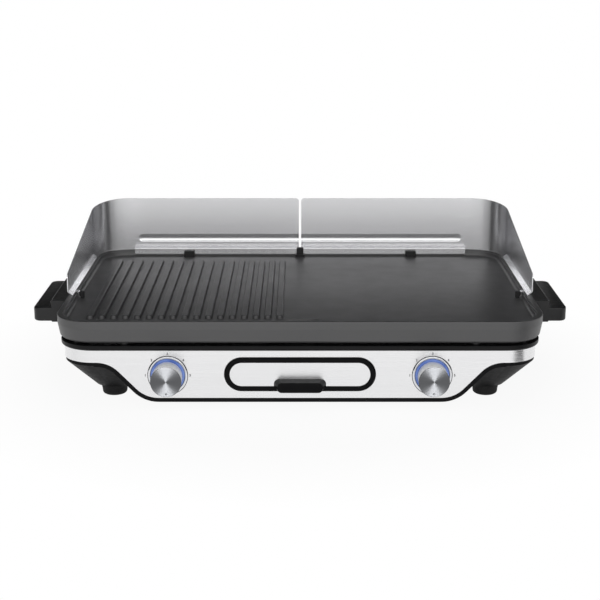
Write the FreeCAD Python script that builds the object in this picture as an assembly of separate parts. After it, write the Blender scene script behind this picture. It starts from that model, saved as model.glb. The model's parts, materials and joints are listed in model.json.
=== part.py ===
import FreeCAD, Part
import math
import os

# Electric table grill: a cast plate, half ribbed and half smooth, lies on a low base with two dials and a
# drip tray, and carries a splash guard of two steel halves. Millimetres, X to the right, Y to the back,
# Z up. The origin is on the table, under the middle of the grill.

V = FreeCAD.Vector
ORIGIN = V(0, 0, 0)
RIGHT = V(1, 0, 0)
BACK = V(0, 1, 0)
UP = V(0, 0, 1)
SIDES = {"left": -1, "right": 1}

# Shared
overrun = 4.0
screw_clearance = 0.1
rest_gap = 0.3
pick_distance = 0.01

# Grill plate
plate_width = 560.0
plate_depth = 372.0
plate_corner_radius = 45.0
rim_width = 9.0
rim_ledge_width = 2.0
rim_ledge_depth = 1.5
rim_edge_chamfer = 0.8
wall_height = 26.0
wall_crease_drop = 9.6
wall_taper = 2.5
wall_foot_chamfer = 2.5
cavity_depth = 7.5
cavity_lean = 1.0
cavity_fillet = 2.5
cavity_fillet_steps = 4
floor_thickness = 7.0
skirt_thickness = 6.5

# Ribs on the left half of the plate
rib_pitch = 13.68
rib_width = 8.15
rib_height = 4.0
rib_lean = 0.8
rib_side_margin = 37.65
rib_middle_margin = 23.0
rib_front_margin = 38.1
rib_back_margin = 49.7

# Fat drain at the front of the plate
drain_length = 36.0
drain_width = 10.0
drain_setback = 27.0
drain_dish_margin = 7.0
drain_dish_depth = 1.5
spout_wall = 2.0
spout_gap = 5.5
spout_clearance = 2.5

# Posts under the plate
post_radius = 5.5
post_inset_x = 73.0
post_inset_y = 8.0
peg_radius = 3.0
peg_length = 4.0
peg_clearance = 0.5

# Plate handles
handle_length = 132.0
handle_setback = 94.0
handle_pad_length = 110.0
handle_pad_margin = 3.0
handle_bracket_reach = 17.4
handle_bracket_drop = 0.5
handle_bracket_height = 26.0
handle_bracket_edge = 1.2
grip_reach = 38.6
grip_drop = 8.8
grip_height = 17.0
grip_corner_radius = 9.0
grip_edge = 2.2
handle_screw_spacing = 70.0
handle_screw_radius = 2.0
handle_screw_bite = 8.0
handle_screw_head_radius = 3.6
handle_screw_head_height = 2.4

# Splash guard
guard_height = 71.0
guard_sheet = 1.0
guard_gap = 3.2
guard_front_setback = 115.0
guard_front_height = 26.0
guard_corner_round = 4.0
joggle_rise = 4.3
lip_clearance = 1.0
lip_depth = 4.7
lip_end_margin = 52.0
side_flange_width = 5.5
side_tab_width = 9.0
bead_height = 15.8
bead_opening = 8.6
bead_depth = 3.0
bead_end_margin = 58.0

# Guard clips on the plate
clip_width = 14.0
clip_thickness = 7.0
clip_rise = 0.5
clip_edge = 1.0
clip_back_spacing = 305.0
clip_side_setback = 136.0
clip_side_width = 7.0
clip_side_thickness = 5.5
middle_clip_width = 9.2
middle_clip_rise = 5.0
middle_clip_foot_width = 12.5
middle_clip_foot_height = 3.5
clip_screw_radius = 1.5
clip_screw_bite = 5.0
clip_screw_head_radius = 2.8
clip_screw_head_height = 1.8

# Base
base_inset = 7.0
base_clearance = 12.5
front_clearance = 8.4
base_wall = 2.5
shadow_gap = 3.5
base_frame_height = 6.2
base_frame_width = 24.0
base_frame_overhang = 3.5
base_frame_round = 3.0
base_lip_height = 4.0
front_lip_height = 5.2
hull_side_slope = 30.0
hull_end_slope = 44.0
hull_foot_radius = 20.0
pod_depth = 76.0
fascia_sheet = 1.0
fascia_band_height = 14.6
fascia_side_return = 62.0
curve_start_margin = 3.0
curve_run = 70.0
curve_slope = 46.0
frame_boss_radius = 6.0
frame_boss_height = 16.0
frame_screw_radius = 1.8
frame_screw_bite = 10.0
frame_screw_head_radius = 3.2
frame_screw_head_height = 2.0
vent_count = 9
vent_length = 60.0
vent_width = 4.0
vent_pitch = 12.0
vent_setback = 60.0
vent_place_share = 0.25

# Dials
dial_margin = 11.2
dial_drop = 1.3
dial_hole_radius = 20.0
bezel_radius = 22.6
bezel_thickness = 1.3
bezel_chamfer = 0.7
bezel_wall = 2.9
guide_clearance = 0.3
guide_proud = 0.7
guide_bore_radius = 6.0
board_radius = 23.0
board_thickness = 1.6

# Knobs
knob_gap = 0.9
knob_length = 21.5
knob_base_radius = 16.6
knob_face_radius = 17.6
knob_wall = 2.2
knob_hub_radius = 5.5
knob_web = 2.5
cap_thickness = 1.6
cap_chamfer = 0.5
pointer_radius = 1.1
pointer_setback = 3.4
pointer_depth = 0.6
shaft_radius = 3.0
shaft_flat_depth = 1.2
shaft_clearance = 0.05
shaft_bite = 9.0

# Thermostats and their brackets
bracket_setback = 18.0
bracket_sheet = 1.5
bracket_height = 43.5
bracket_foot = 16.0
thermostat_width = 34.0
thermostat_height = 30.0
thermostat_depth = 22.0
thermostat_tab_width = 6.3
thermostat_tab_sheet = 0.8
thermostat_tab_length = 9.0
thermostat_tab_spacing = 14.0
bushing_radius = 5.0
bushing_length = 8.0
bushing_nut_radius = 8.0
bushing_nut_height = 3.0
bracket_screw_spacing = 12.0
bracket_screw_radius = 1.5
bracket_screw_bite = 1.6
bracket_screw_head_radius = 2.6
bracket_screw_head_height = 2.0

# Drip tray
tray_front_width = 172.0
tray_front_height = 39.4
tray_front_margin = 8.6
tray_front_proud = 1.5
tray_front_thickness = 7.0
tray_front_edge = 0.8
tray_ring_width = 5.6
tray_inlay_sheet = 1.0
tray_opening_clearance = 0.6
tray_pull_width = 59.0
tray_pull_height = 11.8
tray_pull_reach = 14.0
tray_pull_taper = 4.0
tray_pull_lift = 2.0
tray_pull_corner = 5.0
tray_pull_edge = 1.6
tray_pan_width = 150.0
tray_pan_height = 27.0
tray_pan_length = 172.0
tray_pan_wall = 1.6
tray_pan_corner = 12.0
tray_screw_spacing = 90.0
tray_screw_radius = 1.5
tray_screw_bite = 3.5
tray_screw_head_radius = 3.0
tray_screw_head_height = 2.0
rail_width = 9.0
rail_guide_width = 4.0
rail_guide_height = 7.0
rail_length = 150.0
rail_height = 13.2
rail_clearance = 0.4

# Reflector and heaters
reflector_flange = 9.0
reflector_margin = 4.0
reflector_depth = 6.0
reflector_sheet = 1.0
reflector_corner_radius = 24.0
reflector_screw_radius = 1.5
reflector_screw_bite = 4.0
reflector_screw_head_radius = 3.0
reflector_screw_head_height = 1.8
reflector_screw_inset_x = 38.0
reflector_screw_inset_y = 64.0
heater_radius = 3.25
heater_gap = 0.6
heater_loops = 2
heater_inner_x = 36.0
heater_outer_margin = 41.0
heater_end_margin = 33.0
heater_tail = 18.0
heater_bend_radius = 12.0
heater_hole_clearance = 2.5
heater_pin_radius = 1.6
heater_pin_length = 9.0
saddle_width = 12.0
saddle_sheet = 1.2
saddle_clearance = 0.1
saddle_setback = 80.0

# Wiring
terminal_length = 44.0
terminal_width = 18.0
terminal_height = 15.0
terminal_setback = 17.0
terminal_screw_radius = 2.4
terminal_screw_count = 4
fuse_radius = 4.0
fuse_length = 24.0
fuse_cradle_height = 5.0
fuse_cradle_length = 12.0
fuse_setback = 9.0
fuse_spacing = 120.0
wire_radius = 1.7
wire_bend_radius = 8.0
wire_lift = 1.0

# Mains gland in the back wall
gland_offset = 150.0
gland_bore_radius = 4.0
gland_body_radius = 6.0
gland_flange_radius = 8.0
gland_flange_thickness = 3.0
gland_nose_length = 23.0
gland_nose_radius = 5.0
gland_inside_length = 9.0
gland_nut_radius = 8.6
gland_nut_height = 4.0

# Feet
foot_margin_x = 22.0
foot_margin_y = 16.0
foot_top_radius = 16.0
foot_waist_radius = 14.8
foot_sole_radius = 10.8
foot_sole_round = 3.5
foot_recess_radius = 5.0
foot_recess_depth = 4.0
foot_screw_radius = 2.0
foot_screw_bite = 9.0
foot_screw_head_radius = 4.2
foot_screw_head_height = 2.2
foot_boss_radius = 5.0
foot_boss_height = 12.0

# Places that follow from the sizes
plate_half_x = plate_width / 2
plate_half_y = plate_depth / 2
rib_field = plate_half_x - rib_side_margin - rib_middle_margin
rib_count = int(rib_field / rib_pitch) + 1
base_half_x = plate_half_x - base_inset
base_half_y = plate_half_y - base_inset
base_corner_radius = plate_corner_radius - base_inset
tub_half_x = base_half_x - fascia_sheet
tub_half_y = base_half_y - fascia_sheet
tub_corner_radius = base_corner_radius - fascia_sheet
tub_floor = base_clearance + base_wall
tub_floor_end = tub_half_y - hull_end_slope - base_wall
pan_bottom = tub_floor + rail_height + rest_gap
tray_middle = pan_bottom + tray_pan_height / 2
tray_top = pan_bottom + tray_pan_height
base_top = tray_middle + tray_front_height / 2 + tray_front_margin
base_frame_top = base_top + base_frame_height
plate_bottom = base_frame_top + shadow_gap
rim_height = plate_bottom + wall_height
floor_top = rim_height - cavity_depth
floor_under = floor_top - floor_thickness
fascia_bottom = front_clearance + front_lip_height
band_bottom = base_top - fascia_band_height
fascia_front = -base_half_y
fascia_flat_x = base_half_x - base_corner_radius
curve_start_x = fascia_flat_x - curve_start_margin
curve_end_x = curve_start_x - curve_run
pod_front = -tub_half_y
pod_inside = pod_front + base_wall
dial_x = curve_end_x - dial_margin
dial_height = tray_middle - dial_drop
lip_outside = rim_width + lip_clearance
lip_inside = lip_outside + guard_sheet
clip_back_face = lip_inside + rest_gap
drain_y = -plate_half_y + drain_setback
spout_length = floor_under - tray_top - spout_gap
bracket_front = pod_inside + bracket_setback
reflector_half_x = base_half_x - base_frame_width + reflector_flange
reflector_half_y = base_half_y - base_frame_width + reflector_flange
pan_half_x = reflector_half_x - reflector_flange - reflector_margin
pan_half_y = reflector_half_y - reflector_flange - reflector_margin
reflector_floor = base_frame_top - reflector_depth
heater_height = floor_under - heater_gap - heater_radius
heater_runs = 2 * heater_loops
heater_pitch = (pan_half_x - heater_outer_margin - heater_inner_x) / (heater_runs - 1)
heater_half_run = pan_half_y - heater_end_margin


def block(x0, x1, y0, y1, z0, z1):
    """A box between two corners, given in any order."""
    low = V(min(x0, x1), min(y0, y1), min(z0, z1))
    return Part.makeBox(abs(x1 - x0), abs(y1 - y0), abs(z1 - z0), low)


def rod(radius, start, end):
    """A round bar between two points."""
    way = end - start
    return Part.makeCylinder(radius, way.Length, start, way)


def rounded_outline(half_x, half_y, radius, z):
    """A rectangle with round corners, level at height z."""
    inner_x, inner_y = half_x - radius, half_y - radius
    diagonal = radius * math.sqrt(0.5)
    edges = []
    corners = [(1, -1), (1, 1), (-1, 1), (-1, -1)]
    for i, (sx, sy) in enumerate(corners):
        next_sx, next_sy = corners[(i + 1) % len(corners)]
        along_x, along_y = V(sx * inner_x, sy * half_y, z), V(sx * half_x, sy * inner_y, z)
        start, end = (along_x, along_y) if sx * sy < 0 else (along_y, along_x)
        middle = V(sx * (inner_x + diagonal), sy * (inner_y + diagonal), z)
        edges.append(Part.Arc(start, middle, end).toShape())
        if next_sx == sx:
            edges.append(Part.LineSegment(end, V(sx * half_x, next_sy * inner_y, z)).toShape())
        else:
            edges.append(Part.LineSegment(end, V(next_sx * inner_x, sy * half_y, z)).toShape())
    return Part.Wire(edges)


def rounded_block(half_x, half_y, radius, z0, z1):
    face = Part.Face(rounded_outline(half_x, half_y, radius, z0))
    return face.extrude(UP * (z1 - z0))


def loft(outlines):
    return Part.makeLoft(outlines, True, True)


def plate_outline(inset, z):
    return rounded_outline(plate_half_x - inset, plate_half_y - inset, plate_corner_radius - inset, z)


def slot_outline(centre, half_length, radius, along, across):
    """A slot with round ends: half_length to the end's centre, in the plane of along and across."""
    a, b = along * half_length, across * radius
    tip = along * (half_length + radius)
    edges = [
        Part.LineSegment(centre - a - b, centre + a - b).toShape(),
        Part.Arc(centre + a - b, centre + tip, centre + a + b).toShape(),
        Part.LineSegment(centre + a + b, centre - a + b).toShape(),
        Part.Arc(centre - a + b, centre - tip, centre - a - b).toShape(),
    ]
    return Part.Wire(edges)


def slot_block(centre, half_length, radius, along, across, depth):
    """A slot outline made solid along the vector depth."""
    return Part.Face(slot_outline(centre, half_length, radius, along, across)).extrude(depth)


def rounded_path(points, radius):
    """Straight runs between points, joined by tangent arcs of one radius."""
    edges, start = [], points[0]
    for before, corner, after in zip(points, points[1:], points[2:]):
        into, out = (corner - before).normalize(), (after - corner).normalize()
        half_turn = into.getAngle(out) / 2
        reach = radius * math.tan(half_turn)
        arc_start, arc_end = corner - into * reach, corner + out * reach
        inward = (out - into).normalize()
        middle = corner + inward * (radius / math.cos(half_turn) - radius)
        edges.append(Part.LineSegment(start, arc_start).toShape())
        edges.append(Part.Arc(arc_start, middle, arc_end).toShape())
        start = arc_end
    edges.append(Part.LineSegment(start, points[-1]).toShape())
    return Part.Wire(edges)


def bent_bar(points, bend_radius, radius):
    """A round bar along straight runs and arcs."""
    path = rounded_path(points, bend_radius)
    ring = Part.Wire(Part.makeCircle(radius, points[0], points[1] - points[0]))
    return path.makePipeShell([ring], True, False)


def screw(seat, way, shank_radius, shank_length, head_radius, head_height):
    """A pan head screw: its head stands on seat, and its shank runs along way."""
    shank = Part.makeCylinder(shank_radius, shank_length, seat, way)
    head = Part.makeCylinder(head_radius, head_height, seat, way * -1)
    return shank.fuse(head).removeSplitter()


def hex_nut(centre, way, across_radius, height, bore):
    nut = Part.Face(Part.makePolygon(hexagon(centre, way, across_radius))).extrude(way * height)
    return nut.cut(Part.makeCylinder(bore, height, centre, way))


def hexagon(centre, way, radius):
    side = UP if abs(way.dot(UP)) < math.sqrt(0.5) else RIGHT
    other = way.cross(side)
    turns = [2 * math.pi * i / 6 for i in range(7)]
    return [centre + side * (radius * math.cos(t)) + other * (radius * math.sin(t)) for t in turns]


def edges_where(shape, test):
    return [edge for edge in shape.Edges if test(edge)]


def edges_at(shape, point):
    """The edges whose middle is at a point."""
    return [edge for edge in shape.Edges if edge.CenterOfMass.distanceToPoint(point) < pick_distance]


def mirrored(shape):
    return shape.mirror(ORIGIN, RIGHT)


def both_sides(name, shape):
    """The piece on the right, and its mirror image on the left."""
    return {name + "_left": mirrored(shape), name + "_right": shape}


def make_ribs():
    ribs = []
    length = plate_depth - rib_front_margin - rib_back_margin
    middle_y = (rib_front_margin - rib_back_margin) / 2
    for i in range(rib_count):
        x = -plate_half_x + rib_side_margin + i * rib_pitch
        foot, top = V(x, middle_y, floor_top - rib_lean), V(x, middle_y, floor_top + rib_height)
        foot_radius, top_radius = rib_width / 2, rib_width / 2 - rib_lean
        run = length / 2 - foot_radius
        foot_line = slot_outline(foot, run, foot_radius, BACK, RIGHT)
        ribs.append(loft([foot_line, slot_outline(top, run, top_radius, BACK, RIGHT)]))
    return ribs


def make_plate_well():
    """The space inside the rim, with a round foot where the walls meet the floor."""
    sections = []
    for i in range(cavity_fillet_steps + 1):
        turn = math.pi / 2 * i / cavity_fillet_steps
        inset = rim_width + cavity_lean + cavity_fillet * (1 - math.sin(turn))
        sections.append(plate_outline(inset, floor_top + cavity_fillet * (1 - math.cos(turn))))
    sections.append(plate_outline(rim_width, rim_height - rim_ledge_depth))
    well = loft(sections)
    ledge_inset = rim_width - rim_ledge_width
    ledge = rounded_block(
        plate_half_x - ledge_inset, plate_half_y - ledge_inset, plate_corner_radius - ledge_inset,
        rim_height - rim_ledge_depth, rim_height + overrun)
    return well.fuse(ledge)


def post_places():
    x, y = base_half_x - post_inset_x, base_half_y - post_inset_y
    return [V(sx * x, sy * y, base_frame_top) for sx in (-1, 1) for sy in (-1, 1)]


def handle_screw_places():
    """Points on the inner face of the right skirt, halfway up it."""
    middle_y = -plate_half_y + handle_setback + handle_length / 2
    z = (plate_bottom + floor_under) / 2
    return [V(plate_half_x - skirt_thickness, middle_y + s * handle_screw_spacing / 2, z) for s in (-1, 1)]


def clip_screw_places():
    """Points on the underside of the floor, below each clip."""
    back_y = plate_half_y - clip_back_face - clip_thickness / 2
    side_x = plate_half_x - clip_back_face - clip_side_thickness / 2
    side_y = -plate_half_y + clip_side_setback
    places = [(sx * clip_back_spacing / 2, back_y) for sx in (-1, 1)]
    places += [(0, back_y)]
    places += [(sx * side_x, side_y) for sx in (-1, 1)]
    return [V(x, y, floor_under) for x, y in places]


def make_grill_plate():
    plate = loft([
        plate_outline(wall_taper + wall_foot_chamfer, plate_bottom),
        plate_outline(wall_taper, plate_bottom + wall_foot_chamfer),
        plate_outline(0, rim_height - wall_crease_drop),
        plate_outline(0, rim_height - rim_edge_chamfer),
        plate_outline(rim_edge_chamfer, rim_height),
    ])
    pad_y = -plate_half_y + handle_setback + handle_length / 2
    pad_top = rim_height - handle_bracket_drop - handle_pad_margin
    pad_bottom = rim_height - handle_bracket_drop - handle_bracket_height + handle_pad_margin
    for side in SIDES.values():
        plate = plate.fuse(block(
            side * (plate_half_x - skirt_thickness), side * plate_half_x,
            pad_y - handle_pad_length / 2, pad_y + handle_pad_length / 2, pad_bottom, pad_top))
    underside = rounded_block(
        plate_half_x - skirt_thickness, plate_half_y - skirt_thickness,
        plate_corner_radius - skirt_thickness, plate_bottom - overrun, floor_under)
    plate = plate.cut(make_plate_well()).cut(underside)
    spout_radius = drain_width / 2 + spout_wall
    half_run = (drain_length - drain_width) / 2
    drain = V(0, drain_y, floor_under)
    added = [slot_block(drain, half_run, spout_radius, RIGHT, BACK, UP * -spout_length)]
    for place in post_places():
        added.append(rod(post_radius, place, V(place.x, place.y, floor_under)))
        added.append(rod(peg_radius, place - UP * peg_length, place))
    plate = plate.fuse(added + make_ribs()).removeSplitter()
    dish_radius = drain_width / 2 + drain_dish_margin
    dish_floor = V(0, drain_y, floor_top - drain_dish_depth)
    plate = plate.cut(slot_block(dish_floor, half_run, dish_radius, RIGHT, BACK, UP * drain_dish_depth))
    hole_start = drain - UP * (spout_length + overrun)
    hole_way = UP * (spout_length + floor_thickness + 2 * overrun)
    holes = [slot_block(hole_start, half_run, drain_width / 2, RIGHT, BACK, hole_way)]
    for place in clip_screw_places():
        hole_radius = clip_screw_radius + screw_clearance
        holes.append(rod(hole_radius, place - UP * overrun, place + UP * (floor_thickness + overrun)))
    for place in handle_screw_places():
        radius = handle_screw_radius + screw_clearance
        hole = rod(radius, place - RIGHT * overrun, place + RIGHT * (skirt_thickness + overrun))
        holes += [hole, mirrored(hole)]
    return plate.cut(holes)


def make_plate_handle():
    """The right handle: a bracket against the plate, and a lower grip that stands out from it."""
    front = -plate_half_y + handle_setback
    back = front + handle_length
    bracket_top = rim_height - handle_bracket_drop
    bracket = block(
        plate_half_x, plate_half_x + handle_bracket_reach, front, back,
        bracket_top - handle_bracket_height, bracket_top)
    outer_x = plate_half_x + handle_bracket_reach
    bracket = bracket.makeChamfer(
        handle_bracket_edge, edges_where(bracket, lambda e: e.BoundBox.XMin > outer_x - handle_bracket_edge))
    grip_top = rim_height - grip_drop
    grip_end = plate_half_x + grip_reach
    grip = block(plate_half_x, grip_end, front, back, grip_top - grip_height, grip_top)
    upright = edges_where(
        grip, lambda e: e.BoundBox.XMin > plate_half_x and e.BoundBox.ZLength > grip_height - grip_edge)
    grip = grip.makeFillet(grip_corner_radius, upright)
    rim = edges_where(
        grip, lambda e: e.BoundBox.ZLength < grip_edge and e.BoundBox.XMax > plate_half_x + grip_edge)
    grip = grip.makeFillet(grip_edge, rim)
    handle = bracket.fuse(grip).removeSplitter()
    depth = handle_screw_bite + screw_clearance
    start = plate_half_x - overrun
    holes = [
        rod(handle_screw_radius + screw_clearance, V(start, p.y, p.z), V(plate_half_x + depth, p.y, p.z))
        for p in handle_screw_places()
    ]
    return handle.cut(holes)


def make_handle_screws():
    right = [
        screw(p, RIGHT, handle_screw_radius, skirt_thickness + handle_screw_bite,
              handle_screw_head_radius, handle_screw_head_height)
        for p in handle_screw_places()
    ]
    return Part.makeCompound(right + [mirrored(s) for s in right])


def guard_lip(start, way, inward, length):
    """The foot of the sheet: a joggle over the rim, then a lip down inside it, along a straight stretch.
    start is on the outer face, level with the rim's top."""
    top, seat = joggle_rise, rest_gap
    profile = [
        (0, top), (0, top + guard_sheet), (guard_sheet, top + guard_sheet),
        (lip_inside, seat + guard_sheet), (lip_inside, -lip_depth), (lip_outside, -lip_depth),
        (lip_outside, seat), (0, top),
    ]
    points = [start + inward * d + UP * z for d, z in profile]
    return Part.Face(Part.makePolygon(points)).extrude(way * length)


def side_foot(front_y, back_y):
    """The foot of the side wall: a flange on the rim, with a tab that hooks behind the side clip."""
    seat = rim_height + rest_gap
    flange = block(
        plate_half_x - side_flange_width, plate_half_x, front_y, back_y, seat, seat + guard_sheet)
    tab_y = -plate_half_y + clip_side_setback
    tab_front, tab_back = tab_y - side_tab_width / 2, tab_y + side_tab_width / 2
    inside, outside = plate_half_x - lip_inside, plate_half_x - lip_outside
    tab = block(inside, plate_half_x, tab_front, tab_back, seat, seat + guard_sheet)
    hook = block(inside, outside, tab_front, tab_back, rim_height - lip_depth, seat)
    return [flange, tab, hook]


def make_bead():
    """The raised side and the hollow side of the stiffening bead, pressed out to the back."""
    hollow_radius = (bead_opening ** 2 / 4 + bead_depth ** 2) / (2 * bead_depth)
    inner_face = plate_half_y - guard_sheet
    line_y = inner_face + bead_depth - hollow_radius
    z = rim_height + bead_height
    start = V(0, line_y, z)
    end = V(plate_half_x - bead_end_margin - bead_opening / 2, line_y, z)
    shapes = []
    for radius in (hollow_radius + guard_sheet, hollow_radius):
        shapes.append(rod(radius, start, end).fuse(Part.makeSphere(radius, end)))
    behind = block(
        guard_gap / 2, plate_half_x, inner_face, plate_half_y + 2 * bead_depth,
        rim_height, rim_height + guard_height)
    return shapes[0].common(behind), shapes[1]


def make_splash_guard():
    """The right half of the guard: back wall, round corner and side wall in one sheet."""
    top, seat = rim_height + guard_height, rim_height + rest_gap
    joggle_top = rim_height + joggle_rise
    corner_x, corner_y = plate_half_x - plate_corner_radius, plate_half_y - plate_corner_radius
    lip_end_x, lip_end_y = plate_half_x - lip_end_margin, plate_half_y - lip_end_margin
    front_y = -plate_half_y + guard_front_setback
    inner_x, inner_y = plate_half_x - guard_sheet, plate_half_y - guard_sheet
    back_wall = block(guard_gap / 2, lip_end_x, inner_y, plate_half_y, joggle_top, top)
    back_wall = back_wall.makeFillet(
        guard_corner_round, edges_at(back_wall, V(guard_gap / 2, plate_half_y - guard_sheet / 2, top)))
    axis = V(corner_x, corner_y, seat)
    corner = Part.makeCylinder(plate_corner_radius, top - seat, axis, UP, 90)
    corner = corner.cut(Part.makeCylinder(plate_corner_radius - guard_sheet, top - seat, axis))
    slope = (guard_height - guard_front_height) / (plate_half_y - front_y)
    side_back = rim_height + guard_front_height + slope * (lip_end_y - front_y)
    side_front = rim_height + guard_front_height
    outline = Part.makePolygon([
        V(inner_x, front_y, seat), V(inner_x, front_y, side_front), V(inner_x, lip_end_y, side_back),
        V(inner_x, lip_end_y, seat), V(inner_x, front_y, seat),
    ])
    side_wall = Part.Face(outline).extrude(RIGHT * guard_sheet)
    side_wall = side_wall.makeFillet(
        guard_corner_round, edges_at(side_wall, V(inner_x + guard_sheet / 2, front_y, side_front)))
    links = [
        block(lip_end_x, corner_x, inner_y, plate_half_y, seat, top),
        block(inner_x, plate_half_x, lip_end_y, corner_y, seat, top),
    ]
    above = Part.makePolygon([
        V(corner_x, lip_end_y, side_back), V(corner_x, plate_half_y, top),
        V(corner_x, plate_half_y, top + overrun), V(corner_x, lip_end_y, top + overrun),
        V(corner_x, lip_end_y, side_back),
    ])
    above = Part.Face(above).extrude(RIGHT * (plate_corner_radius + overrun))
    corner = corner.fuse(links).cut(above)
    lips = side_foot(front_y, lip_end_y)
    lips.append(guard_lip(
        V(guard_gap / 2, plate_half_y, rim_height), RIGHT, BACK * -1, lip_end_x - guard_gap / 2))
    ridge, hollow = make_bead()
    guard = back_wall.fuse([corner, side_wall, ridge] + lips).cut(hollow)
    return guard.removeSplitter()


def screw_socket(place, radius, depth):
    """The blind hole that a clip's screw bites into, from the underside of the floor."""
    return rod(radius + screw_clearance, place, place + UP * depth)


def make_wall_foot():
    """The strip of floor along the rim that its round foot takes up, with room to spare."""
    inset = rim_width + cavity_lean + cavity_fillet + rest_gap
    z0, z1 = floor_top - overrun, floor_top + cavity_fillet
    strip = block(-plate_half_x, plate_half_x, -plate_half_y, plate_half_y, z0, z1)
    return strip.cut(rounded_block(
        plate_half_x - inset, plate_half_y - inset, plate_corner_radius - inset, z0, z1))


def make_clips():
    """Lugs on the plate's floor that keep the guard's lip against the rim."""
    back = plate_half_y - clip_back_face
    side = plate_half_x - clip_back_face
    clip_top = rim_height + clip_rise
    places = clip_screw_places()
    clips = {}
    for name, place in zip(("back_left", "back_right"), places[:2]):
        clips[name] = block(
            place.x - clip_width / 2, place.x + clip_width / 2, back - clip_thickness, back,
            floor_top, clip_top)
    middle = block(
        -middle_clip_width / 2, middle_clip_width / 2, back - clip_thickness, back,
        floor_top, rim_height + middle_clip_rise)
    clips["middle"] = middle
    for name, place, s in zip(("side_left", "side_right"), places[3:], SIDES.values()):
        clips[name] = block(
            s * side, s * (side - clip_side_thickness), place.y - clip_side_width / 2,
            place.y + clip_side_width / 2, floor_top, clip_top)
    finished = {}
    for (name, clip), place in zip(clips.items(), places):
        raised = edges_where(clip, lambda e: e.BoundBox.ZMax > floor_top + clip_edge)
        clip = clip.makeFillet(clip_edge, raised)
        if name == "middle":
            foot = block(
                -middle_clip_foot_width / 2, middle_clip_foot_width / 2,
                back - clip_thickness - clip_edge, back,
                floor_top, floor_top + middle_clip_foot_height)
            clip = clip.fuse(foot).removeSplitter()
        depth = floor_thickness + clip_screw_bite + screw_clearance
        clip = clip.cut(screw_socket(place, clip_screw_radius, depth)).cut(make_wall_foot())
        finished["guard_clip_" + name] = clip
    return finished


def make_clip_screws():
    return Part.makeCompound([
        screw(p, UP, clip_screw_radius, floor_thickness + clip_screw_bite,
              clip_screw_head_radius, clip_screw_head_height)
        for p in clip_screw_places()
    ])


def front_outline(margin, y):
    """The front of the base seen from the front: a shallow band that swings down to a deep middle.
    margin moves its lower edge out."""
    slope, drop = math.radians(curve_slope), band_bottom - fascia_bottom
    radius = (curve_run * math.sin(slope) - drop * math.cos(slope)) / (2 * (1 - math.cos(slope)))
    band_z, bottom_z = band_bottom - margin, fascia_bottom - margin
    upper_centre = V(curve_start_x, y, band_bottom - radius)
    lower_centre = V(curve_end_x, y, fascia_bottom + radius)
    turns = (0, slope / 2, slope)
    upper = [upper_centre + (UP * math.cos(t) - RIGHT * math.sin(t)) * (radius - margin) for t in turns]
    lower = [lower_centre - (UP * math.cos(t) - RIGHT * math.sin(t)) * (radius + margin) for t in turns]
    right = [
        Part.LineSegment(V(fascia_flat_x, y, base_top), V(fascia_flat_x, y, band_z)).toShape(),
        Part.LineSegment(V(fascia_flat_x, y, band_z), upper[0]).toShape(),
        Part.Arc(*upper).toShape(),
        Part.LineSegment(upper[-1], lower[-1]).toShape(),
        Part.Arc(*lower[::-1]).toShape(),
        Part.LineSegment(lower[0], V(0, y, bottom_z)).toShape(),
    ]
    left = [mirrored(edge) for edge in right]
    top = Part.LineSegment(V(-fascia_flat_x, y, base_top), V(fascia_flat_x, y, base_top)).toShape()
    return Part.Wire(right + left[::-1] + [top])


def tub_outline(inset, z):
    return rounded_outline(tub_half_x - inset, tub_half_y - inset, tub_corner_radius - inset, z)


def hull(inset, floor_z, top_z):
    """The base's main body: an upright band over walls that slope in to the feet."""
    foot = rounded_outline(
        tub_half_x - hull_side_slope - inset, tub_half_y - hull_end_slope - inset,
        hull_foot_radius - inset, floor_z)
    return loft([foot, tub_outline(inset, band_bottom - base_lip_height), tub_outline(inset, top_z)])


def tray_opening(y, depth):
    radius = tray_front_height / 2 + tray_opening_clearance
    run = (tray_front_width - tray_front_height) / 2
    return slot_block(V(0, y, tray_middle), run, radius, RIGHT, UP, BACK * depth)


def dial_places(y):
    return {name: V(s * dial_x, y, dial_height) for name, s in SIDES.items()}


def foot_places(z):
    names = {"front_left": (-1, -1), "front_right": (1, -1), "back_left": (-1, 1), "back_right": (1, 1)}
    x = tub_half_x - hull_side_slope - foot_margin_x
    y = tub_half_y - hull_end_slope - foot_margin_y
    return {name: V(sx * x, sy * y, z) for name, (sx, sy) in names.items()}


def frame_screw_places():
    """Points on the frame's top, over the bosses in the base's corners."""
    reach = (tub_corner_radius - base_wall / 2 - frame_boss_radius) * math.sqrt(0.5)
    x, y = tub_half_x - tub_corner_radius + reach, tub_half_y - tub_corner_radius + reach
    return [V(sx * x, sy * y, base_frame_top) for sx in (-1, 1) for sy in (-1, 1)]


def gland_centre(y):
    return V(gland_offset, y, (base_top + band_bottom - base_lip_height) / 2)


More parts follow.
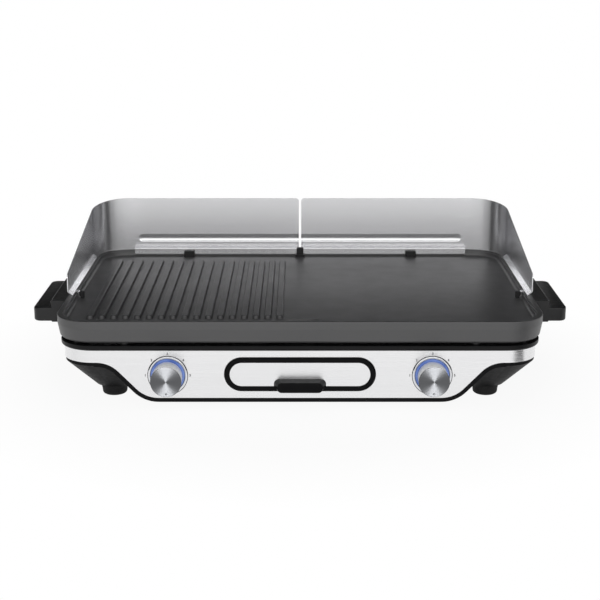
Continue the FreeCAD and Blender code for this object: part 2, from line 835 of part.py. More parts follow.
def make_base_tub():
    pod = Part.Face(front_outline(front_lip_height, pod_front)).extrude(BACK * pod_depth)
    outside = hull(0, base_clearance, base_top).fuse(pod)
    pod_room = Part.Face(front_outline(fascia_bottom - tub_floor, pod_inside)).extrude(
        BACK * (pod_depth - 2 * base_wall))
    room = hull(base_wall, tub_floor, base_top + overrun).fuse(pod_room)
    tub = outside.cut(room)
    bosses = []
    for place in foot_places(base_clearance).values():
        bosses.append(rod(foot_boss_radius, place, place + UP * foot_boss_height))
    for place in frame_screw_places():
        boss_top = V(place.x, place.y, base_top)
        bosses.append(rod(frame_boss_radius, boss_top - UP * frame_boss_height, boss_top))
    tub = tub.fuse(bosses).removeSplitter()
    cuts = [tray_opening(pod_front - overrun, base_wall + 2 * overrun)]
    for place in dial_places(pod_front - overrun).values():
        cuts.append(rod(dial_hole_radius, place, place + BACK * (base_wall + 2 * overrun)))
    for place in foot_places(base_clearance - overrun).values():
        radius = foot_screw_radius + screw_clearance
        cuts.append(rod(radius, place, place + UP * (overrun + foot_screw_bite + screw_clearance)))
    for place in frame_screw_places():
        depth = base_frame_height + frame_screw_bite + screw_clearance
        cuts.append(rod(frame_screw_radius + screw_clearance, place, place - UP * depth))
    for places in bracket_screw_places().values():
        for place in places:
            radius = bracket_screw_radius + screw_clearance
            cuts.append(rod(radius, V(place.x, place.y, front_clearance - overrun), place))
    gland = gland_centre(tub_half_y - base_wall - overrun)
    cuts.append(rod(gland_body_radius + screw_clearance, gland, gland + BACK * (base_wall + 2 * overrun)))
    for s in SIDES.values():
        for i in range(vent_count):
            x = s * (tray_pan_width / 2 + vent_setback) + (i - (vent_count - 1) / 2) * vent_pitch
            cuts.append(slot_block(
                V(x, vent_place_share * tub_half_y, base_clearance - overrun), (vent_length - vent_width) / 2,
                vent_width / 2, BACK, RIGHT, UP * (base_wall + 2 * overrun)))
    return tub.cut(cuts)


def make_base_frame():
    """The ring that closes the top of the base and carries the plate."""
    ring = rounded_block(
        base_half_x + base_frame_overhang, base_half_y + base_frame_overhang,
        base_corner_radius + base_frame_overhang, base_top, base_frame_top)
    underside = edges_where(ring, lambda e: e.BoundBox.ZMax < base_top + base_frame_height / 2)
    ring = ring.makeFillet(base_frame_round, underside)
    opening_radius = reflector_corner_radius - reflector_flange
    opening = rounded_block(
        base_half_x - base_frame_width, base_half_y - base_frame_width, opening_radius,
        base_top - overrun, base_frame_top + overrun)
    holes = [
        rod(peg_radius + peg_clearance, p - UP * (peg_length + peg_clearance), p + UP * overrun)
        for p in post_places()
    ]
    for place in reflector_screw_places():
        depth = reflector_screw_bite + screw_clearance
        holes.append(rod(reflector_screw_radius + screw_clearance, place - UP * depth, place))
    for place in frame_screw_places():
        depth = base_frame_height + overrun
        holes.append(rod(frame_screw_radius + screw_clearance, place - UP * depth, place))
    return ring.cut(opening).cut(holes + [spout_way()])


def make_frame_screws():
    length = base_frame_height + frame_screw_bite
    return Part.makeCompound([
        screw(p, UP * -1, frame_screw_radius, length, frame_screw_head_radius, frame_screw_head_height)
        for p in frame_screw_places()
    ])


def spout_way():
    """The clear way for the plate's spout, down through the frame and the reflector."""
    start = V(0, drain_y, reflector_floor - overrun)
    radius = drain_width / 2 + spout_wall + spout_clearance
    depth = floor_under - start.z
    return slot_block(start, (drain_length - drain_width) / 2, radius, RIGHT, BACK, UP * depth)


def make_front_fascia():
    """The steel front: flat over the pod, and a band round both front corners."""
    front = Part.Face(front_outline(0, fascia_front)).extrude(BACK * fascia_sheet)
    cuts = [tray_opening(fascia_front - overrun, fascia_sheet + 2 * overrun)]
    for place in dial_places(fascia_front - overrun).values():
        cuts.append(rod(dial_hole_radius, place, place + BACK * (fascia_sheet + 2 * overrun)))
    corner_x, corner_y = base_half_x - base_corner_radius, -base_half_y + base_corner_radius
    band = base_top - band_bottom
    axis = V(corner_x, corner_y, band_bottom)
    corner = Part.makeCylinder(base_corner_radius, band, axis, UP, 90)
    corner = corner.cut(Part.makeCylinder(base_corner_radius - fascia_sheet, band, axis))
    corner.rotate(axis, UP, -90)
    side = block(
        base_half_x - fascia_sheet, base_half_x, corner_y, corner_y + fascia_side_return,
        band_bottom, base_top)
    wrap = corner.fuse(side)
    return front.cut(cuts).fuse([wrap, mirrored(wrap)]).removeSplitter()


def make_bezel(place):
    """A thin polished ring on the fascia, round the light guide."""
    ring = Part.makeCylinder(bezel_radius, bezel_thickness, place, BACK * -1)
    front = place.y - bezel_thickness
    rim = edges_where(ring, lambda e: e.BoundBox.YMax < front + bezel_chamfer)
    ring = ring.makeChamfer(bezel_chamfer, rim)
    inner = bezel_radius - bezel_wall
    return ring.cut(rod(inner, place, place - BACK * (bezel_thickness + overrun)))


def make_light_guide(place):
    """The clear ring that glows round the knob, standing on its lamp board."""
    radius = bezel_radius - bezel_wall - guide_clearance
    front = fascia_front - guide_proud
    start, end = V(place.x, pod_inside, place.z), V(place.x, front, place.z)
    return rod(radius, start, end).cut(rod(guide_bore_radius, start, end))


def make_lamp_board(place):
    start = V(place.x, pod_inside, place.z)
    end = start + BACK * board_thickness
    return rod(board_radius, start, end).cut(rod(guide_bore_radius, start, end))


def bracket_screw_places():
    """Points on the bracket's foot, for each dial."""
    y = bracket_front + bracket_foot / 2
    z = tub_floor + bracket_sheet
    return {
        name: [V(p.x + s * bracket_screw_spacing / 2, y, z) for s in (-1, 1)]
        for name, p in dial_places(0).items()
    }


def make_thermostat_bracket(name):
    centre = dial_places(bracket_front)[name]
    half = dial_margin
    top = tub_floor + bracket_height
    plate = block(
        centre.x - half, centre.x + half, bracket_front, bracket_front + bracket_sheet, tub_floor, top)
    foot = block(
        centre.x - half, centre.x + half, bracket_front, bracket_front + bracket_foot,
        tub_floor, tub_floor + bracket_sheet)
    bracket = plate.fuse(foot).removeSplitter()
    holes = [rod(bushing_radius + screw_clearance, centre - BACK * overrun, centre + BACK * overrun)]
    for place in bracket_screw_places()[name]:
        radius = bracket_screw_radius + screw_clearance
        holes.append(rod(radius, place - UP * overrun, place + UP * overrun))
    return bracket.cut(holes)


def make_bracket_screws():
    length = bracket_sheet + bracket_screw_bite
    return Part.makeCompound([
        screw(p, UP * -1, bracket_screw_radius, length, bracket_screw_head_radius, bracket_screw_head_height)
        for places in bracket_screw_places().values() for p in places
    ])


def make_thermostat(name):
    """The switch body behind the bracket, with its threaded bushing and two tabs."""
    face = dial_places(bracket_front + bracket_sheet)[name]
    half_w, half_h = thermostat_width / 2, thermostat_height / 2
    back_y = face.y + thermostat_depth
    body = block(face.x - half_w, face.x + half_w, face.y, back_y, face.z - half_h, face.z + half_h)
    body = body.fuse(rod(bushing_radius, face, V(face.x, bracket_front - bushing_length, face.z)))
    for s in SIDES.values():
        x = face.x + s * thermostat_tab_spacing / 2
        body = body.fuse(block(
            x - thermostat_tab_sheet / 2, x + thermostat_tab_sheet / 2,
            back_y, back_y + thermostat_tab_length,
            face.z - thermostat_tab_width / 2, face.z + thermostat_tab_width / 2))
    bore_end = V(face.x, shaft_end() + shaft_clearance, face.z)
    bore_start = V(face.x, bracket_front - bushing_length - overrun, face.z)
    return body.cut(rod(shaft_radius + shaft_clearance, bore_start, bore_end)).removeSplitter()


def make_bushing_nuts():
    return Part.makeCompound([
        hex_nut(p, BACK * -1, bushing_nut_radius, bushing_nut_height, bushing_radius + screw_clearance)
        for p in dial_places(bracket_front).values()
    ])


def knob_foot():
    """How far forward the knob's open end lies."""
    return fascia_front - bezel_thickness - knob_gap


def shaft_end():
    """How far back the shaft reaches into the thermostat."""
    return bracket_front + bracket_sheet + shaft_bite


def hub_floor():
    return knob_foot() - knob_length + knob_web


def make_knob_body(place):
    """A hollow knob that widens to its face, with a hub on the shaft."""
    foot = V(place.x, knob_foot(), place.z)
    outside = Part.makeCone(knob_base_radius, knob_face_radius, knob_length, foot, BACK * -1)
    inside = Part.makeCone(
        knob_base_radius - knob_wall, knob_face_radius - knob_wall, knob_length - knob_web, foot, BACK * -1)
    hub = rod(knob_hub_radius, foot, foot - BACK * knob_length)
    body = outside.cut(inside).fuse(hub)
    hub_end = V(place.x, hub_floor(), place.z)
    bore_radius = shaft_radius + shaft_clearance
    bore = rod(bore_radius, foot + BACK * overrun, hub_end)
    flat = block(
        place.x - bore_radius, place.x + bore_radius, hub_end.y, foot.y + overrun,
        place.z + bore_radius - shaft_flat_depth, place.z + bore_radius)
    return body.cut(bore.cut(flat)).removeSplitter()


def make_knob_cap(place):
    """The turned metal disc on the knob's face, with a small pointer dimple at the bottom."""
    face = V(place.x, knob_foot() - knob_length, place.z)
    cap = Part.makeCylinder(knob_face_radius, cap_thickness, face, BACK * -1)
    front = face.y - cap_thickness
    cap = cap.makeChamfer(cap_chamfer, edges_where(cap, lambda e: e.BoundBox.YMax < front + cap_chamfer))
    dimple = V(place.x, front + pointer_depth, place.z - knob_face_radius + pointer_setback)
    return cap.cut(rod(pointer_radius, dimple, dimple - BACK * overrun))


def make_shaft(place):
    start, end = V(place.x, shaft_end(), place.z), V(place.x, hub_floor(), place.z)
    flat = block(
        place.x - shaft_radius, place.x + shaft_radius, hub_floor(), knob_foot(),
        place.z + shaft_radius - shaft_flat_depth, place.z + shaft_radius)
    return rod(shaft_radius, start, end).cut(flat)


def tray_front_slot(y, inset, depth):
    radius = tray_front_height / 2 - inset
    run = (tray_front_width - tray_front_height) / 2
    return slot_block(V(0, y, tray_middle), run, radius, RIGHT, UP, BACK * depth)


def tray_front_y():
    return fascia_front - tray_front_proud


def tray_screw_places():
    y = tray_front_y() + tray_front_thickness + tray_pan_wall
    return [V(s * tray_screw_spacing / 2, y, tray_middle) for s in (-1, 1)]


def make_tray_front():
    """The moulded tray front: a round-ended ring with a floor, and the pull at its lower edge."""
    y = tray_front_y()
    front = tray_front_slot(y, 0, tray_front_thickness)
    rim = edges_where(front, lambda e: e.BoundBox.YMax < y + tray_front_edge)
    front = front.makeChamfer(tray_front_edge, rim)
    front = front.cut(tray_front_slot(y - overrun, tray_ring_width, overrun + tray_front_proud))
    bottom = tray_middle - tray_front_height / 2 + tray_pull_lift
    half, tip = tray_pull_width / 2, y - tray_pull_reach
    root, tip_half = y + tray_front_proud, half - tray_pull_taper
    plan = [(-half, root), (half, root), (tip_half, tip), (-tip_half, tip), (-half, root)]
    pull = Part.Face(Part.makePolygon([V(px, py, bottom) for px, py in plan])).extrude(UP * tray_pull_height)
    ends = edges_where(pull, lambda e: e.BoundBox.YLength > tray_pull_reach)
    pull = pull.makeFillet(tray_pull_corner, ends)
    tip_edges = edges_where(pull, lambda e: e.BoundBox.YMax < tip + tray_front_edge)
    pull = pull.makeFillet(tray_pull_edge, tip_edges)
    front = front.fuse(pull).removeSplitter()
    holes = [
        rod(tray_screw_radius + screw_clearance, V(p.x, p.y, p.z), p - BACK * (
            tray_pan_wall + tray_screw_bite + screw_clearance))
        for p in tray_screw_places()
    ]
    return front.cut(holes)


def make_tray_inlay():
    """The steel plate inside the ring, cut away round the pull."""
    y = tray_front_y() + tray_front_proud - tray_inlay_sheet
    inlay = tray_front_slot(y, tray_ring_width + screw_clearance, tray_inlay_sheet)
    bottom = tray_middle - tray_front_height / 2 + tray_pull_lift
    half = tray_pull_width / 2 + screw_clearance
    notch = block(
        -half, half, y - overrun, y + overrun, bottom - overrun, bottom + tray_pull_height + screw_clearance)
    shoulders = edges_where(notch, lambda e: e.BoundBox.YLength > overrun and e.BoundBox.ZMin > bottom)
    notch = notch.makeFillet(tray_pull_corner + screw_clearance, shoulders)
    return inlay.cut(notch)


def make_tray_pan():
    front = tray_front_y() + tray_front_thickness
    half_x, half_y = tray_pan_width / 2, tray_pan_length / 2
    pan = rounded_block(half_x, half_y, tray_pan_corner, pan_bottom, tray_top)
    room = rounded_block(
        half_x - tray_pan_wall, half_y - tray_pan_wall, tray_pan_corner - tray_pan_wall,
        pan_bottom + tray_pan_wall, tray_top + overrun)
    pan = pan.cut(room)
    pan.translate(BACK * (front + half_y))
    holes = [
        rod(tray_screw_radius + screw_clearance, p + BACK * overrun, p - BACK * (tray_pan_wall + overrun))
        for p in tray_screw_places()
    ]
    return pan.cut(holes)


def make_tray_screws():
    return Part.makeCompound([
        screw(p, BACK * -1, tray_screw_radius, tray_pan_wall + tray_screw_bite,
              tray_screw_head_radius, tray_screw_head_height)
        for p in tray_screw_places()
    ])


def make_tray_rail():
    """The right runner on the base's floor: a step under the pan and a guide beside it."""
    front = bracket_front
    edge = tray_pan_width / 2 + rail_clearance
    step = block(edge - rail_width, edge, front, front + rail_length, tub_floor, tub_floor + rail_height)
    guide = block(
        edge, edge + rail_guide_width, front, front + rail_length, tub_floor, pan_bottom + rail_guide_height)
    return step.fuse(guide).removeSplitter()


def reflector_screw_places():
    """Points on the reflector's flange, on the frame's top."""
    middle_x = reflector_half_x - reflector_flange / 2
    middle_y = reflector_half_y - reflector_flange / 2
    half_x, half_y = reflector_half_x - reflector_screw_inset_x, reflector_half_y - reflector_screw_inset_y
    along_back = [V(sx * half_x, sy * middle_y, base_frame_top) for sx in (-1, 1) for sy in (-1, 1)]
    along_sides = [V(sx * middle_x, sy * half_y, base_frame_top) for sx in (-1, 1) for sy in (-1, 1)]
    return along_back + along_sides


def heater_tails():
    """Where each heater's two ends turn down, on the right."""
    last = heater_inner_x + (heater_runs - 1) * heater_pitch
    return [V(x, heater_half_run, heater_height) for x in (heater_inner_x, last)]


def make_reflector():
    """A shallow bright pan under the heaters, hung from its flange."""
    flange_top = base_frame_top + reflector_sheet
    flange = rounded_block(
        reflector_half_x, reflector_half_y, reflector_corner_radius, base_frame_top, flange_top)
    pan_radius = reflector_corner_radius - reflector_flange - reflector_margin
    pan = rounded_block(pan_half_x, pan_half_y, pan_radius, reflector_floor, flange_top)
    room = rounded_block(
        pan_half_x - reflector_sheet, pan_half_y - reflector_sheet, pan_radius - reflector_sheet,
        reflector_floor + reflector_sheet, flange_top + overrun)
    reflector = flange.fuse(pan).removeSplitter().cut(room)
    hole_depth = reflector_sheet + 2 * overrun
    cuts = [spout_way()]
    for tail in heater_tails():
        start = V(tail.x, tail.y, reflector_floor - overrun)
        hole = rod(heater_radius + heater_hole_clearance, start, start + UP * hole_depth)
        cuts += [hole, mirrored(hole)]
    for place in reflector_screw_places():
        radius = reflector_screw_radius + screw_clearance
        cuts.append(rod(radius, place - UP * overrun, place + UP * overrun))
    return reflector.cut(cuts)


def make_reflector_screws():
    length = reflector_sheet + reflector_screw_bite
    return Part.makeCompound([
        screw(p + UP * reflector_sheet, UP * -1, reflector_screw_radius, length,
              reflector_screw_head_radius, reflector_screw_head_height)
        for p in reflector_screw_places()
    ])


def heater_end():
    """The height of a heater's lower ends, under the reflector."""
    return reflector_floor - heater_tail


def make_heater():
    """The right heater: a sheathed tube bent to and fro under the plate, with both ends turned down."""
    first, last = heater_tails()
    low = heater_end()
    points = [V(first.x, first.y, low)]
    for i in range(heater_runs):
        x = heater_inner_x + i * heater_pitch
        way = 1 if i % 2 == 0 else -1
        points += [V(x, s * way * heater_half_run, heater_height) for s in (1, -1)]
    points.append(V(last.x, last.y, low))
    heater = bent_bar(points, heater_bend_radius, heater_radius)
    pins = [
        rod(heater_pin_radius, V(p.x, p.y, low), V(p.x, p.y, low - heater_pin_length)) for p in (first, last)
    ]
    return heater.fuse(pins)


def make_saddles():
    """Bent strips that carry the heaters on the reflector."""
    top = heater_height - heater_radius - saddle_clearance
    floor = reflector_floor + reflector_sheet
    saddles = []
    for i in range(heater_runs):
        x = heater_inner_x + i * heater_pitch
        for sy in (-1, 1):
            y = sy * saddle_setback
            half = saddle_width / 2
            outside = block(x - half, x + half, y - half, y + half, floor, top)
            inside = block(
                x - half + saddle_sheet, x + half - saddle_sheet, y - half - overrun, y + half + overrun,
                floor - overrun, top - saddle_sheet)
            saddles.append(outside.cut(inside))
    return Part.makeCompound(saddles + [mirrored(s) for s in saddles])


def terminal_centre():
    return V(0, tub_floor_end - terminal_setback, tub_floor)


def make_terminal_block():
    centre = terminal_centre()
    half_l, half_w = terminal_length / 2, terminal_width / 2
    body = block(
        centre.x - half_l, centre.x + half_l, centre.y - half_w, centre.y + half_w,
        tub_floor, tub_floor + terminal_height)
    pitch = terminal_length / terminal_screw_count
    wells = []
    for i in range(terminal_screw_count):
        x = centre.x + (i - (terminal_screw_count - 1) / 2) * pitch
        top = V(x, centre.y, tub_floor + terminal_height)
        wells.append(rod(terminal_screw_radius, top - UP * (terminal_height / 2), top + UP * overrun))
    return body.cut(wells)


def fuse_centre():
    """The middle of the right fuse."""
    z = tub_floor + fuse_cradle_height + fuse_radius
    return V(fuse_spacing / 2, tub_floor_end - fuse_setback, z)


def make_thermal_fuses():
    """Two capsules that cut the current if the base overheats, each on a cradle."""
    fuse = fuse_centre()
    along = RIGHT * (fuse_length / 2)
    capsule = rod(fuse_radius, fuse - along, fuse + along)
    cradle = block(
        fuse.x - fuse_cradle_length / 2, fuse.x + fuse_cradle_length / 2,
        fuse.y - fuse_radius, fuse.y + fuse_radius, tub_floor, fuse.z)
    right = capsule.fuse(cradle).removeSplitter()
    return Part.makeCompound([mirrored(right), right])


def make_wiring():
    """Leads from the terminal block to each thermostat, on to the heater, and back by the thermal fuse."""
    low = tub_floor + wire_lift + wire_radius
    fuse = fuse_centre()
    centre = terminal_centre()
    block_front = centre.y - terminal_width / 2
    pole = terminal_length / terminal_screw_count / 2
    turn = 3 * wire_bend_radius
    lane_x = tray_pan_width / 2 + rail_clearance + rail_guide_width + wire_bend_radius
    tab_end = bracket_front + bracket_sheet + thermostat_depth + thermostat_tab_length
    tab_in, tab_out = dial_x - thermostat_tab_spacing / 2, dial_x + thermostat_tab_spacing / 2
    inner_pin, outer_pin = [V(p.x, p.y, heater_end() - heater_pin_length) for p in heater_tails()]
    feed = [
        V(3 * pole, block_front, low), V(3 * pole, block_front - turn, low),
        V(lane_x, block_front - turn, low), V(lane_x, tab_end + turn, low), V(tab_in, tab_end + turn, low),
        V(tab_in, tab_end + turn, dial_height), V(tab_in, tab_end, dial_height),
    ]
    to_heater = [
        V(tab_out, tab_end, dial_height), V(tab_out, tab_end + turn, dial_height),
        V(tab_out, tab_end + turn, low), V(outer_pin.x, tab_end + turn, low),
        V(outer_pin.x, outer_pin.y, low), outer_pin,
    ]
    to_fuse = [
        inner_pin, V(inner_pin.x, inner_pin.y, fuse.z), V(inner_pin.x, fuse.y, fuse.z),
        V(fuse.x - fuse_length / 2, fuse.y, fuse.z),
    ]
    fuse_end = fuse.x + fuse_length / 2
    back = [
        V(fuse_end, fuse.y, fuse.z), V(fuse_end + turn, fuse.y, fuse.z),
        V(fuse_end + turn, block_front - turn / 2, fuse.z), V(pole, block_front - turn / 2, fuse.z),
        V(pole, block_front, fuse.z),
    ]
    leads = [bent_bar(route, wire_bend_radius, wire_radius) for route in (feed, to_heater, to_fuse, back)]
    return Part.makeCompound(leads + [mirrored(lead) for lead in leads])


def make_gland():
    """The bush that the mains lead passes through, in the back wall."""
    wall_out = gland_centre(tub_half_y)
    inside_end = wall_out - BACK * (base_wall + gland_inside_length)
    flange_end = wall_out + BACK * gland_flange_thickness
    nose_end = flange_end + BACK * gland_nose_length
    gland = rod(gland_body_radius, inside_end, wall_out)
    gland = gland.fuse(rod(gland_flange_radius, wall_out, flange_end))
    nose = Part.makeCone(gland_body_radius, gland_nose_radius, gland_nose_length, flange_end, BACK)
    bore = rod(gland_bore_radius, inside_end - BACK * overrun, nose_end + BACK * overrun)
    return gland.fuse(nose).cut(bore).removeSplitter()


def make_gland_nut():
    seat = gland_centre(tub_half_y - base_wall)
    return hex_nut(seat, BACK * -1, gland_nut_radius, gland_nut_height, gland_body_radius + screw_clearance)


def make_foot(place):
    """A rubber foot: a waisted bowl with a recess for its screw."""
    waist_z = base_clearance / 2
    drop = foot_sole_round * math.sqrt(0.5)
    outline = Part.Wire([
        Part.LineSegment(V(0, 0, 0), V(foot_sole_radius, 0, 0)).toShape(),
        Part.Arc(
            V(foot_sole_radius, 0, 0),
            V(foot_sole_radius + drop, 0, foot_sole_round - drop),
            V(foot_sole_radius + foot_sole_round, 0, foot_sole_round)).toShape(),
        Part.LineSegment(
            V(foot_sole_radius + foot_sole_round, 0, foot_sole_round),
            V(foot_waist_radius, 0, waist_z)).toShape(),
        Part.LineSegment(V(foot_waist_radius, 0, waist_z), V(foot_top_radius, 0, base_clearance)).toShape(),
        Part.LineSegment(V(foot_top_radius, 0, base_clearance), V(0, 0, base_clearance)).toShape(),
        Part.LineSegment(V(0, 0, base_clearance), V(0, 0, 0)).toShape(),
    ])
    foot = Part.Face(outline).revolve(ORIGIN, UP, 360)
    foot = foot.cut(rod(foot_recess_radius, V(0, 0, -overrun), V(0, 0, foot_recess_depth)))
    foot = foot.cut(rod(foot_screw_radius + screw_clearance, ORIGIN, V(0, 0, base_clearance + overrun)))
    foot.translate(place)
    return foot


def make_foot_screws():
    length = base_clearance - foot_recess_depth + foot_screw_bite
    return Part.makeCompound([
        screw(p, UP, foot_screw_radius, length, foot_screw_head_radius, foot_screw_head_height)
        for p in foot_places(foot_recess_depth).values()
    ])


def make_pieces():
    pieces = {
        "grill_plate": make_grill_plate(),
        "handle_screws": make_handle_screws(),
        "clip_screws": make_clip_screws(),
        "base_tub": make_base_tub(),
        "base_frame": make_base_frame(),
        "front_fascia": make_front_fascia(),
        "bracket_screws": make_bracket_screws(),
        "bushing_nuts": make_bushing_nuts(),
        "tray_front": make_tray_front(),
        "tray_inlay": make_tray_inlay(),
        "drip_tray": make_tray_pan(),
        "tray_screws": make_tray_screws(),
        "reflector": make_reflector(),
        "reflector_screws": make_reflector_screws(),
        "heater_saddles": make_saddles(),
        "terminal_block": make_terminal_block(),
        "thermal_fuses": make_thermal_fuses(),
        "wiring": make_wiring(),
        "mains_gland": make_gland(),
        "gland_nut": make_gland_nut(),
        "frame_screws": make_frame_screws(),
        "foot_screws": make_foot_screws(),
    }
    pieces.update(both_sides("plate_handle", make_plate_handle()))
    pieces.update(both_sides("splash_guard", make_splash_guard()))
    pieces.update(both_sides("tray_rail", make_tray_rail()))
    pieces.update(both_sides("heater", make_heater()))
    pieces.update(make_clips())
    for name, place in dial_places(fascia_front).items():
        pieces["dial_bezel_" + name] = make_bezel(place)
        pieces["light_guide_" + name] = make_light_guide(place)
        pieces["lamp_board_" + name] = make_lamp_board(place)
        pieces["knob_body_" + name] = make_knob_body(place)
        pieces["knob_cap_" + name] = make_knob_cap(place)
        pieces["dial_shaft_" + name] = make_shaft(place)
        pieces["thermostat_" + name] = make_thermostat(name)
        pieces["thermostat_bracket_" + name] = make_thermostat_bracket(name)
    for name, place in foot_places(0).items():
        pieces["foot_" + name] = make_foot(place)
    return pieces


def main():
    os.makedirs("parts", exist_ok=True)
    for name, shape in make_pieces().items():
        shape.exportStep(os.path.join("parts", name + ".step"))
        sound = "sound" if shape.isValid() else "NOT VALID"
        print(name, len(shape.Solids), "solids,", round(shape.Volume), "mm3,", sound)


main()
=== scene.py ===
"""An electric table grill, dressed: coated plate, steel guards, brushed front, lit dials and drip tray."""
import json
import math

import bmesh
import bpy
from mathutils import Matrix, Vector


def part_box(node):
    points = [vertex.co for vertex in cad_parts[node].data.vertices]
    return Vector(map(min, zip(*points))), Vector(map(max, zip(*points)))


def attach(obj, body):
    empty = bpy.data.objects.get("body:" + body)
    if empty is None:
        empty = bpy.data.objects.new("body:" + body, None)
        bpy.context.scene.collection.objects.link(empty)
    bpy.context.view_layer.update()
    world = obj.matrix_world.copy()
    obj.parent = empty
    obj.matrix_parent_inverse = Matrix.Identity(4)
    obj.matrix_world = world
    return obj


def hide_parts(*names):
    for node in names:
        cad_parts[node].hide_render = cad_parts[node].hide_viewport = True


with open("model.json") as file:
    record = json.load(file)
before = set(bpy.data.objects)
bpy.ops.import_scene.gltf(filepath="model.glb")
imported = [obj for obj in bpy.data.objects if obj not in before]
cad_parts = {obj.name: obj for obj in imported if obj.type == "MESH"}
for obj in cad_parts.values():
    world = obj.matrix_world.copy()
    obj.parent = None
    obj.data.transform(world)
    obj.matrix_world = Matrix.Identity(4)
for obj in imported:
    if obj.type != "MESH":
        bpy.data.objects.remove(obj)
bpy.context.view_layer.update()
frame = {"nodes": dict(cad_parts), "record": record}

UV_NAME = "UVMap"
SIDES = {"left": -1, "right": 1}
RIGHT = Vector((1, 0, 0))
UP = Vector((0, 0, 1))
TO_COOK = Vector((0, -1, 0))
TO_BACK = Vector((0, 1, 0))

# Camera at the photograph's viewing angle
camera_place = (0, -1.644, 0.5209)
camera_pitch = math.radians(75.049)
camera_lens = 81
camera_reach = 50

# Smoothness of round forms
corner_steps = 20
edge_steps = 4
lathe_steps = 96
foot_steps = 64
post_steps = 32
crease_angle = math.radians(38)
support = 0.0003

# Lengths that count as nothing
merge_distance = 0.000002
near_zero = 1e-7
same_height = 1e-4

# Rounding of the solids' edges
flat_angle = math.radians(0.6)
bevel_angle = math.radians(32)
bevel_segments = 3

# Cast plate
plate_corner = 0.045
wall_foot = 0.0025
wall_taper = 0.0025
crease_drop = 0.0096
rim_width = 0.009
rim_ledge = 0.002
ledge_depth = 0.0015
well_depth = 0.0075
well_lean = 0.001
well_fillet = 0.0032
floor_thickness = 0.007
skirt_thickness = 0.0065
wall_height = 0.026
cast_round = 0.0012

# Ribs
rib_count = 17
rib_pitch = 0.01368
rib_width = 0.00815
rib_height = 0.004
rib_lean = 0.0008
rib_flare = 0.0006
rib_round = 0.0009
rib_side_margin = 0.03765
rib_front_margin = 0.0381
rib_back_margin = 0.0497

# Fat drain
drain_half_run = 0.013
drain_radius = 0.005
drain_dish = 0.007
dish_depth = 0.0015
drain_setback = 0.027
spout_wall = 0.002

# Posts under the plate
post_radius = 0.0055
peg_radius = 0.003
peg_length = 0.004
post_inset = (0.080, 0.015)

# Splash guards
guard_sheet = 0.001
guard_rise = 0.071
guard_front_rise = 0.026
guard_front_setback = 0.115
guard_corner = 0.004
joggle_rise = 0.0043
lip_inset = 0.010
lip_depth = 0.0047
lip_end_margin = 0.052
side_flange = 0.0055
tab_width = 0.009
seat_gap = 0.00004
fold_radius = 0.0012
lip_fold = 0.0004
lip_shoulder = 0.0026
bead_rise = 0.0158
bead_foot = 0.0053
bead_depth = 0.0012
bead_end_margin = 0.0623
bead_steps = 9
wall_steps = 12
side_steps = 8
upper_steps = 6
level_share = 0.97

# Knobs and dial rings, as shares of their radius or depth
cap_dish = 1 / 16
cap_dish_steps = 24
cap_flat = 0.93
cap_chamfer = 0.965
cap_back = 0.9
cap_wall = 0.7
knob_foot = 0.955
knob_wall = 0.13
knob_bore = 0.32
knob_hollow = 0.86
knob_groove = 0.05
bezel_wall = 0.125
# Painted shade: the black ring round each bezel stands for the shadow line at its edge
shade_ring_width = 0.028
shade_ring_depth = 1 / 8

# Feet and gland, mostly as shares of their radius
foot_sole = 0.675
foot_waist = 0.925
foot_recess = 0.31
gland_bore = 0.5
gland_body = 0.75
gland_nose = 0.625
gland_ribs = 6
gland_inside = 0.0115
gland_flange = 0.003

# Screw heads, as shares of their radius
head_crown = 0.62
cross_arm = 0.42
cross_half = 0.09
cross_depth = 0.3
cross_taper = 0.8
head_share = 0.95

# Pointers and numbers of the dials
pointer_ball = 0.0017
ball_steps = 24
pointer_depth = 0.0007
pointer_setback = 0.0036
mark_radius = 0.0256
mark_size = 0.00405
mark_bold = 0.00012
mark_depth = 0.00006
mark_turn = math.radians(45)
mark_numbers = "12345"

# Studio
aim = (0, 0, 0.08)
guard_aim = (0, 0.186, 0.15)
world_strength = 0.32
floor_half = 12
floor_tone = 0.86
floor_shadow = 0.30
floor_white = 0.46
floor_least_white = 0.93
card_tone = 40


def srgb(*parts):
    """A colour written as it looks, from 0 to 255, in linear values with full opacity."""
    linear = [(p / 255 / 12.92 if p <= 10 else ((p / 255 + 0.055) / 1.055) ** 2.4) for p in parts]
    return (*linear, 1)


def add_node(tree, kind, **values):
    """A node with values on its sockets, or on itself where no socket has the name."""
    made = tree.nodes.new(kind)
    for key, value in values.items():
        if key in made.inputs:
            made.inputs[key].default_value = value
        else:
            setattr(made, key, value)
    return made


